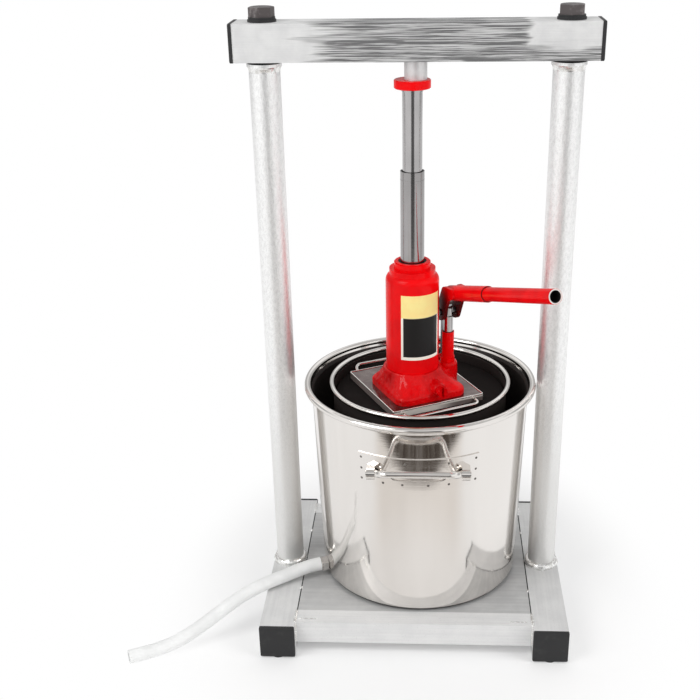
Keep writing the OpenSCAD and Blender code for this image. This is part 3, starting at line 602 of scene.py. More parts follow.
@dataclass(frozen=True)
class MottledZinc(Finish):
    """Bright zinc on the columns, whose hammered skin breaks up what it mirrors, greyer towards the foot."""

    name: str = "mottled_zinc"
    light: Colour = (0.97, 0.97, 0.965)
    dark: Colour = (0.80, 0.80, 0.795)
    dull: Colour = (0.75, 0.745, 0.73)
    dull_z: Pair = (0.08, 0.36)

    def paint(self, shade: Shade) -> Sockets:
        """Mixes bright and dark zinc by skin and grains, and a greyer tone into them below a height."""
        skin = shade.noise((430.0, 430.0, 193.5), 3.0, 0.6)
        grains = shade.noise(1100.0, 2.0)
        _, _, z = shade.at()
        bright = shade.mixed((skin * 0.5 + grains * 0.5).step(0.36, 0.6), self.dark, self.light)
        return dict(
            Base_Color=shade.mixed((1.0 - z.step(*self.dull_z)) * (0.4 + skin), bright, self.dull),
            Metallic=0.8,
            Roughness=0.33 + grains * 0.12,
            Normal=shade.relief(skin * 0.75 + grains * 0.25, 0.5 * MM),
        )


@dataclass(frozen=True)
class DrawnBeam(Finish):
    """Silver beam with dark streaks scratched along its middle, on to the right end low on the face."""

    name: str = "drawn_beam"
    light: Colour = (0.74, 0.74, 0.735)
    cloud: Colour = (0.66, 0.66, 0.66)
    grey: Colour = (0.40, 0.40, 0.40)
    dark: Colour = (0.07, 0.07, 0.072)
    left_end: float = -0.118
    left_fade: float = 0.035
    right_end: float = 0.118
    right_fade: float = 0.008
    low_z: Pair = (0.668, 0.678)
    scratch: Pair = (0.465, 0.525)

    def paint(self, shade: Shade) -> Sockets:
        """Lays worn grey and dark streaks over cloudy silver, where the beam is rubbed."""
        x, _, z = shade.at()
        ragged = (shade.noise((9.0, 60.0, 160.0), 4.0) - 0.5) * 0.14
        fine = shade.noise((18.0, 600.0, 1200.0), 3.0, 0.6)
        broad = shade.noise((11.0, 260.0, 480.0))
        patch = shade.noise((16.0, 60.0, 60.0), 2.0)
        clouds = shade.noise(60.0, 4.0)
        from_left = (x + ragged).step(self.left_end, self.left_end + self.left_fade)
        to_right = 1.0 - (x + ragged * 0.15).step(self.right_end - self.right_fade, self.right_end)
        low = (1.0 - z.step(*self.low_z)) * patch.step(0.35, 0.55)
        rubbed = from_left * to_right.largest(low)
        streak = (fine * 0.6 + broad * 0.4 + (patch - 0.5) * 0.12).step(*self.scratch) * rubbed
        pale = shade.mixed((clouds * 0.7 + fine * 0.3).step(0.35, 0.65), self.cloud, self.light)
        worn = shade.mixed(rubbed * (fine.step(0.36, 0.56) * 0.6 + 0.3), pale, self.grey)
        return dict(
            Base_Color=shade.mixed(streak * 0.78, worn, self.dark),
            Metallic=0.2,
            Roughness=0.5 + streak * 0.1,
            Specular_IOR_Level=0.3,
            Normal=shade.relief(fine, 0.1 * MM),
        )


@dataclass(frozen=True)
class TwoTone(Finish):
    """Two tones mixed by one noise, with a second noise in the relief and, times swing, in the roughness."""

    dull: Colour
    bright: Colour
    roughness: float
    metallic: float = 0.0
    gloss: float = 0.5
    tone: Grain = (60.0, 3.0, 0.55)
    tone_step: Pair = (0.35, 0.65)
    grain: Grain = (60.0, 3.0, 0.55)
    swing: float = 0.12
    depth: float = 0.1 * MM

    def paint(self, shade: Shade) -> Sockets:
        """Mixes the two tones and lays the grain into them."""
        grain = shade.noise(*self.grain)
        return dict(
            Base_Color=shade.mixed(shade.noise(*self.tone).step(*self.tone_step), self.dull, self.bright),
            Metallic=self.metallic,
            Roughness=self.roughness + grain * self.swing,
            Specular_IOR_Level=self.gloss,
            Normal=shade.relief(grain, self.depth),
        )


@dataclass(frozen=True)
class WeldMetal(TwoTone):
    """Bright weld bead with heat tint and spatter."""

    name: str = "weld_metal"
    dull: Colour = (0.70, 0.69, 0.67)
    bright: Colour = (0.92, 0.92, 0.91)
    roughness: float = 0.18
    metallic: float = 0.9
    tone: Grain = (150.0, 3.0, 0.55)
    grain: Grain = (150.0, 3.0, 0.55)
    swing: float = 0.16
    depth: float = 0.08 * MM


@dataclass(frozen=True)
class DarkSolid(TwoTone):
    """Black moulded plastic, rubber or blackened steel, with grain and pale rubbed spots."""

    gloss: float = 0.25
    tone: Grain = (65.0, 5.0, 0.65)
    tone_step: Pair = (0.52, 0.8)
    grain: Grain = (900.0, 2.0, 0.55)
    swing: float = 0.2


@dataclass(frozen=True)
class PolishedSheet(Finish):
    """Mirror polished stainless sheet: slow waves from rolling and faint polishing rings."""

    name: str = "polished_sheet"
    colour: Colour = (0.82, 0.79, 0.76)
    haze: Colour = (0.75, 0.72, 0.69)
    roughness: float = 0.05
    wave: float = 0.4 * MM
    brush: float = 0.016 * MM

    def paint(self, shade: Shade) -> Sockets:
        """Mixes haze into the steel, with the waves and rings in its relief."""
        rings = shade.noise((5.0, 5.0, 1500.0), 2.0)
        waves = shade.noise((11.0, 11.0, 1.6), 1.0, 0.3)
        haze = shade.noise((14.0, 14.0, 2.0))
        return dict(
            Base_Color=shade.mixed(haze.step(0.3, 0.7), self.haze, self.colour),
            Metallic=1.0,
            Roughness=self.roughness + rings * 0.05,
            Normal=shade.relief(waves * self.wave + rings * self.brush, 1.0),
        )


@dataclass(frozen=True)
class RimmedVessel(PolishedSheet):
    """A round vessel, polished outside and on its rim, with painted shade inside: near-black with lighter
    flecks.

    The painted shade lies where the height is under rim_z and the distance from the axis is under
    edge_r + taper (z - foot_z) + lip max(z - lip_z, 0): the inner wall and the inside of the lip.
    """

    axis: Pair = (0.0, 0.0)
    edge_r: float = 0.2
    taper: float = 0.0
    foot_z: float = 0.0
    lip: float = 0.0
    lip_z: float = 1.0
    rim_z: float = 1.0
    # Painted shade: the near-black inside and its lighter flecks stand for the shade in the vessel.
    inside: Colour = (0.034, 0.028, 0.026)
    shade_fleck: Colour = (0.075, 0.062, 0.056)

    def paint(self, shade: Shade) -> Sockets:
        """Lays the painted shade, near-black with lighter flecks, over the inside of the polished sheet."""
        x, y, z = shade.at((*self.axis, 0.0))
        reach = (x * x + y * y) ** 0.5
        edge = self.edge_r + (z - self.foot_z) * self.taper + (z - self.lip_z).largest(0.0) * self.lip
        within = 1.0 - (reach - edge).step(-0.1 * MM, 0.1 * MM)
        dark = within * (1.0 - z.step(self.rim_z - 0.2 * MM, self.rim_z + 0.2 * MM))
        flecks = shade.noise(700.0, 2.0).step(0.66, 0.8)
        painted_shade = shade.mixed(flecks, self.inside, self.shade_fleck)
        face = super().paint(shade)
        return face | dict(
            Base_Color=shade.mixed(dark, face["Base_Color"], painted_shade),
            Metallic=1.0 - dark * 0.85,
            Roughness=face["Roughness"] + dark * 0.4,
        )


@dataclass(frozen=True)
class SatinSheet(TwoTone):
    """Satin stainless sheet with fine rolling lines and dull marks."""

    metallic: float = 1.0
    tone: Grain = (60.0, 4.0, 0.55)
    tone_step: Pair = (0.38, 0.7)
    grain: Grain = ((40.0, 900.0, 900.0), 3.0, 0.55)
    depth: float = 0.06 * MM


@dataclass(frozen=True)
class TraySheet(Finish):
    """Folded steel tray with painted shade and reflection on its top, its left side and the lower right of
    its front, bright on the rest of its turned-down sides.
    """

    top_z: float
    turn: float
    left: float
    side: Colour = (0.84, 0.79, 0.73)
    # Painted shade and reflection: the dark colour of the top, the left side and the lower front.
    tray_shade: Colour = (0.15, 0.11, 0.105)
    shaded_span: Pair = (-5.0 * MM, 30.0 * MM)
    unshaded_band: float = 2.2 * MM
    shade_fade: float = 1.5 * MM

    def paint(self, shade: Shade) -> Sockets:
        """Mixes painted shade into the steel on the top, on the left side and on the right half of the front.
        """
        x, y, z = shade.at()
        along = x * math.cos(math.radians(self.turn)) + y * math.sin(math.radians(self.turn))
        marks = shade.noise(60.0, 4.0)
        top = z.step(self.top_z - 0.4 * MM, self.top_z - 0.1 * MM) * (0.7 + marks * 0.5)
        edge_z = self.top_z - self.unshaded_band
        below = 1.0 - z.step(edge_z - self.shade_fade, edge_z)
        left = 1.0 - along.step(self.left + 0.2 * MM, self.left + 0.5 * MM)
        shade_mask = top.largest(left * 0.9).largest(below * along.step(*self.shaded_span) * 0.9)
        return dict(
            Base_Color=shade.mixed(shade_mask, self.side, self.tray_shade),
            Metallic=0.15 + top * 0.8,
            Roughness=0.34 - top * 0.27,
            Normal=shade.relief(marks, 0.2 * MM),
        )


@dataclass(frozen=True)
class RedEnamel(Finish):
    """Glossy red enamel over steel or casting: a thin lacquer, a soft orange peel and deeper clouds."""

    colour: Colour = (0.86, 0.003, 0.005)
    deep: Colour = (0.72, 0.002, 0.004)
    peel: float = 0.1 * MM
    coarse: float = 120.0
    gloss: float = 0.08
    coat: float = 0.06
    # Painted shade: a near-black red drawn round a point, for the shade in the lever's clevis.
    shade_centre: Place = (0.0, 0.0, 0.0)
    shade_reach: float = 0.0
    shade_red: Colour = (0.085, 0.006, 0.006)

    def paint(self, shade: Shade) -> Sockets:
        """Mixes two reds by clouds, with painted shade round a point where it has a radius."""
        clouds = shade.noise(34.0, 4.0)
        peel = shade.noise(self.coarse)
        red = shade.mixed(clouds.step(0.28, 0.6), self.deep, self.colour)
        if self.shade_reach:
            x, y, z = shade.at(self.shade_centre)
            reach = (x * x + y * y + z * z) ** 0.5 + (clouds - 0.5) * 0.012
            red = shade.mixed(1.0 - reach.step(0.45 * self.shade_reach, self.shade_reach), red, self.shade_red)
        return dict(
            Base_Color=red,
            Roughness=0.16 + peel * 0.1,
            Specular_IOR_Level=self.gloss,
            Coat_Weight=self.coat,
            Coat_Roughness=0.04,
            Normal=shade.relief(peel, self.peel),
        )


@dataclass(frozen=True)
class GroundRod(TwoTone):
    """Ground and polished rod with fine rings round it and a greasy bloom."""

    roughness: float = 0.1
    metallic: float = 1.0
    tone: Grain = ((30.0, 30.0, 12.0), 3.0, 0.55)
    tone_step: Pair = (0.3, 0.7)
    grain: Grain = ((3.0, 3.0, 1500.0), 2.0, 0.55)
    swing: float = 0.08
    depth: float = 0.03 * MM


@dataclass(frozen=True)
class MilkyHose(TwoTone):
    """Milky soft hose with a cloudy wall."""

    name: str = "milky_hose"
    dull: Colour = (0.84, 0.845, 0.84)
    bright: Colour = (0.92, 0.925, 0.92)
    roughness: float = 0.32
    gloss: float = 0.3
    tone: Grain = (45.0, 3.0, 0.55)
    tone_step: Pair = (0.35, 0.7)
    grain: Grain = (45.0, 3.0, 0.55)
    depth: float = 0.2 * MM


@dataclass(frozen=True)
class LabelFilm(Finish):
    """Printed film in bare panels: cream above, and below it black inside a pale edge.

    It reads the piece's own UV map, where u runs round the jack and v up it.
    """

    name: str = "label_film"
    cream: Colour = (1.0, 0.84, 0.34)
    faded: Colour = (1.0, 0.79, 0.31)
    black: Colour = (0.012, 0.011, 0.011)
    line: Colour = (0.95, 0.90, 0.80)
    panel_top: float = 0.655
    edge_side: float = 0.052
    edge_low: float = 0.045
    soft: float = 0.006

    def paint(self, shade: Shade) -> Sockets:
        """Lays the pale edge and then the black over faded cream."""
        u, v, _ = shade.axes(shade.node("ShaderNodeTexCoord").outputs["UV"])
        lower = 1.0 - v.step(self.panel_top - self.soft, self.panel_top + self.soft)
        inner = (0.5 - abs(u - 0.5)).step(self.edge_side - self.soft, self.edge_side + self.soft)
        inner = inner * v.step(self.edge_low, self.edge_low + self.soft)
        fade = shade.noise(120.0)
        cream = shade.mixed(fade.step(0.3, 0.7), self.faded, self.cream)
        edged = shade.mixed(lower, cream, self.line)
        return dict(
            Base_Color=shade.mixed(lower * inner, edged, self.black),
            Roughness=0.3 + fade * 0.14,
            Specular_IOR_Level=0.15,
            Coat_Weight=0.08,
            Normal=shade.relief(fade, 0.06 * MM),
        )


PLASTIC = DarkSolid("black_moulding", (0.028, 0.028, 0.029), (0.045, 0.045, 0.045), 0.4)
# Black rubber for the seals, pads, feet and plug, and black for the painted shade in the seams, the handle's
# bore and the socket's step.
RUBBER_AND_SHADE = DarkSolid("black_rubber", (0.012, 0.012, 0.012), (0.03, 0.03, 0.03), 0.6)
POLISHED = PolishedSheet("polished_handle", roughness=0.09, wave=0.3 * MM)
WELD = WeldMetal()


# Sub-assemblies


class Assembly:
    """A sub-assembly: build makes its new pieces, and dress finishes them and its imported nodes."""

    def build(self) -> tuple[Any, ...]:
        """Makes the new pieces and returns them, where it has any."""
        return ()


@dataclass(frozen=True)
class EndCaps:
    """Domed plastic caps in the tubes' ends: a rounded rectangle carried over a domed profile."""

    corner: float = 1.8 * MM
    edge: float = 1.2 * MM
    proud: float = 0.4 * MM
    side_points: int = 8
    edge_points: int = 7

    def outline(self, half_w: float, half_h: float) -> Array:
        """Draws a rectangle with round corners, as four quarter circles.

        Args:
            half_w: half its width.
            half_h: half its height.

        Returns:
            The points round it, (n, 2).
        """
        w, h = half_w - self.corner, half_h - self.corner
        centres = ((w, h), (-w, h), (-w, -h), (w, -h))
        quarters = [arc(c, self.corner, 90 * i, 90 * i + 90, self.side_points) for i, c in enumerate(centres)]
        return np.concatenate(quarters)

    def shell(self, low: Array, high: Array, axis: int, sign: float) -> Shell:
        """A cap that fills a box's outline across an axis and domes towards its outer end.

        Ring i is the outline drawn in by inset_i at depth_i below the outer face: the inset follows a
        quarter ellipse from the side wall to the middle of the face.

        Args:
            low: the box's lowest corner.
            high: its highest corner.
            axis: 0 for a tube along X, 1 for one along Y.
            sign: which end the cap is on.

        Returns:
            The cap's surface.
        """
        across = 1 - axis
        half_w, half_h = ((high[i] - low[i]) / 2 + self.proud for i in (across, 2))
        depth = high[axis] - low[axis]
        t = np.linspace(0, math.pi / 2, self.edge_points)
        inset = np.concatenate([[half_w, 0.0], self.edge * (1 - np.cos(t)), [half_w]])
        inward = np.concatenate([[depth, depth], self.edge * (1 - np.sin(t)), [0.0]])
        base = self.outline(half_w, half_h)
        points = np.zeros((len(inset), len(base), 3))
        for k, (place, half) in enumerate(((across, half_w), (2, half_h))):
            points[..., place] = base[:, k] * np.clip(1 - inset / half, 0, 1)[:, None]
        points[..., axis] = (sign * (depth / 2 - inward))[:, None]
        return grid_shell(points, wrap_cols=True).moved((low + high) / 2)

    def pair(self, tube: str, caps: str, axis: int) -> list[Shell]:
        """Both caps of a tube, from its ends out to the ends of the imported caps.

        Args:
            tube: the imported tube's name.
            caps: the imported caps' name.
            axis: 0 for a tube along X, 1 for one along Y.

        Returns:
            The two caps' surfaces.
        """
        (low, high), (cap_low, cap_high) = box_of(tube), box_of(caps)
        first, first_in, last_in, last = low.copy(), high.copy(), low.copy(), high.copy()
        first[axis], first_in[axis] = cap_low[axis], low[axis]
        last_in[axis], last[axis] = high[axis], cap_high[axis]
        return [self.shell(first, first_in, axis, -1.0), self.shell(last_in, last, axis, 1.0)]


@dataclass
class FloorFrame(Assembly):
    """Rails, crossbars, base plate, feet, the rails' end caps and the welds between them."""

    bead: float = 2.0 * MM
    seam_over: float = 0.45 * MM
    seam_rise: float = 0.05 * MM
    run_out: Pair = (3.0 * MM, 27.0 * MM)
    run_in: float = 0.3
    run_rise: float = 0.3
    run_wide: float = 1.6
    tack_y: tuple[float, ...] = (-68.0 * MM, 62.0 * MM)
    tack_len: float = 5.0 * MM
    top_scales: int = 9
    face_scales: int = 10
    run_scales: int = 4
    tack_scales: int = 3
    rails: ClassVar[dict[str, float]] = {"left_rail": -1.0, "right_rail": 1.0}
    crossbars: ClassVar[dict[str, float]] = {"front_crossbar": -1.0, "rear_crossbar": 1.0}
    caps: EndCaps = EndCaps()

    def weld_shells(self) -> list[Shell]:
        """Beads along the crossbars' ends, on their tops and outer faces, and tacks on the plate's seams.

        Returns:
            The beads' surfaces.
        """
        plate_low, plate_high = box_of("base_plate")
        edges = {-1.0: plate_low[0], 1.0: plate_high[0]}
        shells = []
        for rail, side in self.rails.items():
            low, high = box_of(rail)
            x = high[0] if side < 0 else low[0]
            start_x, stop_x = (x - side * reach for reach in self.run_out)
            for bar, end in self.crossbars.items():
                bar_low, bar_high = box_of(bar)
                y, inner = (bar_low[1], bar_high[1]) if end < 0 else (bar_high[1], bar_low[1])
                top, foot = bar_high[2], bar_low[2]
                run_y = y - self.run_in * (y - inner)
                start, stop = (start_x, run_y, top), (stop_x, run_y, top)
                rise, wide = (0.0, 0.0, self.run_rise), self.run_wide * self.bead
                shells += [
                    bead_run((x, y, top), (x, inner, top), UP, self.bead, self.top_scales),
                    bead_run((x, y, foot), (x, y, top), (0.0, end, 0.0), self.bead, self.face_scales),
                    bead_run(start, stop, rise, wide, self.run_scales),
                ]
            seam = (x + edges[side]) / 2
            for y in self.tack_y:
                start, stop = (seam, y, high[2]), (seam, y + self.tack_len, high[2])
                shells.append(bead_run(start, stop, UP, self.bead, self.tack_scales))
        return shells

    def gap_shade_shells(self) -> list[Shell]:
        """Dark strips of painted shade in the gaps between the base plate and the rails, which lap a little
        over the plate's edge.

        Returns:
            The two seams' surfaces, flat between their corners.
        """
        plate_low, plate_high = box_of("base_plate")
        left, right = plate_low[0] + self.seam_over, plate_high[0] - self.seam_over
        shells = []
        for rail, side in self.rails.items():
            low, high = box_of(rail)
            x = (high[0], left) if side < 0 else (right, low[0])
            corner_x, corner_y = np.meshgrid(x, (plate_low[1], plate_high[1]), indexing="ij")
            height = np.full_like(corner_x, plate_high[2] + self.seam_rise)
            shells.append(grid_shell(np.stack([corner_x, corner_y, height], axis=-1)))
        return shells

    def build(self) -> tuple[Any, ...]:
        """Makes the frame's new pieces.

        Returns:
            The caps, the welds and the dark strips of painted shade in the seams.
        """
        caps = [cap for rail in self.rails for cap in self.caps.pair(rail, "rail_end_caps", 1)]
        return (
            add_piece("rail_caps_domed", caps, Body.ROOT, "rail_end_caps"),
            add_piece("frame_welds", self.weld_shells(), Body.ROOT),
            add_piece("plate_gap_shade", self.gap_shade_shells(), Body.ROOT),
        )

    def dress(self, caps: Any, welds: Any, seams: Any) -> None:
        """Finishes the frame's nodes and pieces.

        Args:
            caps: the rails' end caps.
            welds: the frame's welds.
            seams: the strips of painted shade beside the plate.
        """
        # Painted light and shade: the same silver paint is drawn lighter on the crossbars and darker on the
        # base plate than on the rails.
        bar_light, bar_dark = (0.80, 0.80, 0.795), (0.73, 0.73, 0.73)
        plate_light, plate_dark = (0.58, 0.58, 0.575), (0.48, 0.48, 0.48)
        dress(SilverPaint("silver_rail", (260.0, 9.0, 260.0)), *self.rails)
        dress(SilverPaint("silver_crossbar", (9.0, 260.0, 260.0), bar_light, bar_dark), *self.crossbars)
        dress(SilverPaint("silver_plate", (9.0, 320.0, 320.0), plate_light, plate_dark), "base_plate")
        dress(PLASTIC, caps)
        dress(WELD, welds)
        # Painted shade: the strips in the seams beside the plate take the black finish.
        dress(RUBBER_AND_SHADE, seams, "rubber_feet")


@dataclass
class Columns(Assembly):
    """The two columns, their weld beads and the plugs in their tops."""

    bead: float = 4.8 * MM
    bead_lap: float = 0.3 * MM
    bead_rise: float = 1.45
    ripples: int = 22
    ripple: float = 0.03
    wander: float = 0.06
    flare: float = 6.0 * MM
    flare_out: float = 2.0 * MM

    def __post_init__(self) -> None:
        """Takes the columns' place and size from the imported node."""
        low, high = box_of("right_column")
        self.column_x = middle_of("right_column")[0]
        self.column_r = (high[0] - low[0]) / 2
        self.foot_z, self.top_z = low[2], high[2]

    def bead_shell(self, sign: float) -> Shell:
        """A rippled fillet weld round a column's foot.

        The bead's section is an arc from the column's wall to the rail. Its reach at angle t is
        bead (1 + ripple |sin(n t / 2)| + wander sin 3t), so each pass of the torch shows as a scale.

        Args:
            sign: -1 for the left column and 1 for the right one.

        Returns:
            The bead's surface.
        """
        t = np.arange(self.ripples * 6) / (self.ripples * 6) * TAU
        scale = 1 + self.ripple * np.abs(np.sin(self.ripples * t / 2)) + self.wander * np.sin(3 * t + sign)
        s = np.radians(np.linspace(0, 90, 9))[:, None]
        reach = self.bead * scale[None, :]
        r = self.column_r - self.bead_lap + reach * np.cos(s)
        points = np.stack([r * np.cos(t), r * np.sin(t), self.bead_rise * reach * np.sin(s)], axis=-1)
        return grid_shell(points, wrap_cols=True).moved((sign * self.column_x, 0, self.foot_z))

    def flare_shell(self, sign: float) -> Shell:
        """The flare under a column's top plate: r = column_r + flare_out (h / flare)^2 over its height h.

        Args:
            sign: -1 for the left column and 1 for the right one.

        Returns:
            The flare's surface.
        """
        h = np.linspace(0, self.flare, 8)
        profile = np.stack([self.column_r + self.flare_out * (h / self.flare) ** 2, h], axis=-1)
        return revolved(profile, 96).moved((sign * self.column_x, 0, self.top_z - self.flare))

    def build(self) -> tuple[Any, ...]:
        """Makes the weld beads as one piece and returns it."""
        shells = [make(sign) for sign in (-1.0, 1.0) for make in (self.bead_shell, self.flare_shell)]
        return (add_piece("weld_beads", shells, Body.ROOT, "column_welds"),)

    def dress(self, beads: Any) -> None:
        """Finishes the columns and their welds."""
        dress(MottledZinc(), "left_column", "right_column", "column_plugs")
        dress(WELD, beads)


@dataclass
class Beam(Assembly):
    """The crossbeam with its caps, bolts, washers, pads and thrust stub."""

    caps: EndCaps = EndCaps()

    def build(self) -> tuple[Any, ...]:
        """Makes the beam's two end caps as one piece and returns it."""
        caps = self.caps.pair("crossbeam", "beam_end_caps", 0)
        return (add_piece("beam_caps_domed", caps, Body.ROOT, "beam_end_caps"),)

    def dress(self, caps: Any) -> None:
        """Finishes the beam's nodes and caps.

        Args:
            caps: the beam's end caps.
        """
        black, worn = (0.105, 0.092, 0.092), (0.36, 0.33, 0.33)
        bolt = DarkSolid("black_steel", black, worn, 0.32, 0.5, grain=(500.0, 2.0, 0.55))
        dress(DrawnBeam(), "crossbeam")
        dress(PLASTIC, caps, "flat_washers", "spring_washers")
        dress(RUBBER_AND_SHADE, "beam_pads")
        dress(bolt, "beam_bolts")
        dress(SatinSheet("bright_stub", (0.66, 0.66, 0.66), (0.79, 0.79, 0.79), 0.36, 0.5), "thrust_stub")


@dataclass
class Barrel(Assembly):
    """The polished barrel with its handles, their spot welds and the drain fitting."""

    low_r: float = 120.0 * MM
    high_r: float = 127.7 * MM
    bend: float = 7.0 * MM
    wall: float = 0.6 * MM
    lip_drop: float = 12.0 * MM
    rim_band: float = 8.0 * MM
    lip_flare: float = 0.37
    plate_over: float = 1.6 * MM
    dot_r: float = 1.5 * MM
    dot_rise: float = 0.3
    # The spot welds of a plate: degrees round it and millimetres up it, from its middle.
    dots: ClassVar[Table] = (
        (-30, 14), (-30, 0), (-30, -13), (30, 14), (30, 0), (30, -13),
        (-18, -13.4), (-8, -13.4), (5, -13.4), (15.5, -13.4), (-6.5, 13.4), (15.3, 13.4),
    )

    def __post_init__(self) -> None:
        """Takes the barrel's axis and heights, and the plates' middle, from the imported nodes."""
        low, high = box_of("outer_barrel")
        self.axis = tuple(middle_of("outer_barrel")[:2])
        self.foot_z, self.top_z = low[2], high[2]
        self.bend_z = self.foot_z + self.bend
        self.taper = (self.high_r - self.low_r) / (self.top_z - self.bend_z)
        self.plate_z = middle_of("front_handle_plate")[2]

    def dot_shell(self, turn: float, angle: float, rise: float) -> Shell:
        """A spot weld on a handle plate, as a dome.

        At the share q of its radius, its height is dot_rise dot_r (1 - q^2).

        Args:
            turn: 0 for the front plate and 180 for the rear one.
            angle: degrees round the plate from its middle.
            rise: millimetres above its middle.

        Returns:
            The dome's surface.
        """
        z = self.plate_z + rise * MM
        reach = self.low_r + self.taper * (z - self.bend_z) + self.plate_over
        q = np.linspace(1.0, 0.0, 5)
        dome = revolved(np.stack([q * self.dot_r, self.dot_rise * self.dot_r * (1 - q * q)], axis=-1), 20)
        x, y, out = dome.points.T
        facing = Shell(np.stack([x, -reach - out - self.taper * y, z + y], axis=-1), dome.quads)
        return facing.turned(turn + angle).moved((*self.axis, 0.0))

    def build(self) -> tuple[Any, ...]:
        """Makes the spot welds of both handle plates as one piece and returns it."""
        shells = [self.dot_shell(turn, *dot) for turn in (0.0, 180.0) for dot in self.dots]
        return (add_piece("spot_welds", shells, Body.ROOT),)

    def dress(self, welds: Any) -> None:
        """Finishes the barrel, its handles and the drain fitting.

        Args:
            welds: the plates' spot welds.
        """
        # Painted shade: the barrel's inner wall is drawn near-black below the rim.
        vessel = RimmedVessel(
            "polished_barrel",
            axis=self.axis,
            edge_r=self.low_r - self.wall,
            taper=self.taper,
            foot_z=self.bend_z,
            lip=self.lip_flare,
            lip_z=self.top_z - self.lip_drop,
            rim_z=self.top_z - self.rim_band,
        )
        dress(vessel, "outer_barrel")
        dress(POLISHED, "front_handle_plate", "rear_handle_plate", "front_bail", "rear_bail")
        dress(POLISHED, "drain_spout", "spout_nut")
        dress(SatinSheet("spot_weld", (0.16, 0.15, 0.14), (0.3, 0.28, 0.26), 0.4), welds)


@dataclass
class DrainHose(Assembly):
    """The soft hose from the spout over the left rail to the floor; its knots are in millimetres."""

    diameter: float = 16.0 * MM
    bore: float = 12.0 * MM
    steps: int = 8
    sides: int = 40
    knots: ClassVar[Table] = (
        (-116.5, -33.7, 56), (-127, -37.6, 55.6), (-138, -42.5, 54.2), (-149, -48.5, 52.8),
        (-160, -55.5, 51.6), (-171, -63, 51), (-182, -71, 50.2), (-194, -79.5, 48.2), (-206, -88, 44.8),
        (-219, -97, 39.4), (-232, -105.5, 32.8), (-245, -114, 26), (-258, -122, 19.6), (-271, -130, 14.2),
        (-284, -137.5, 10.6), (-298, -145, 8.7), (-313, -152.5, 8.2), (-330, -160.5, 8.2),
    )

    def build(self) -> tuple[Any, ...]:
        """Makes the hose as one closed tube: its outer wall, and then back along its bore.

        Returns:
            The hose.
        """
        route = smooth_route(np.array(self.knots, float) * MM, self.steps)
        outer, inner = (
            swept(route, np.full(len(route), across / 2), self.sides) for across in (self.diameter, self.bore)
        )
        shell = grid_shell(np.concatenate([outer, inner[::-1]]), wrap_rows=True, wrap_cols=True)
        hose = add_piece("juice_hose", shell, Body.ROOT, "drain_hose")
        return (hose,)

    def dress(self, hose: Any) -> None:
        """Finishes the hose."""
        dress(MilkyHose(), hose)


@dataclass
class Basket(Assembly):
    """The basket, the press plate and the jack's seat with its lifting wires."""

    bead: float = 5.8 * MM

    def dress(self) -> None:
        """Finishes the basket's nodes."""
        rim_z, seat_z = box_of("basket")[1][2] - self.bead, box_of("jack_seat")[1][2]
        # Painted shade: the basket below its rim and the stainless press plate are drawn near-black, the
        # plate in two tones, for the shade inside the barrel.
        black, worn = (0.011, 0.009, 0.0085), (0.02, 0.017, 0.016)
        plate = DarkSolid("dark_plate", black, worn, 0.65, gloss=0.06, grain=(700.0, 2.0, 0.55))
        dress(RimmedVessel("rimmed_basket", rim_z=rim_z), "basket")
        dress(plate, "press_plate")
        dress(TraySheet("tray_sheet", seat_z, Jack.turn, Jack.seat_left()), "jack_seat")
        dress(POLISHED, "seat_handles")


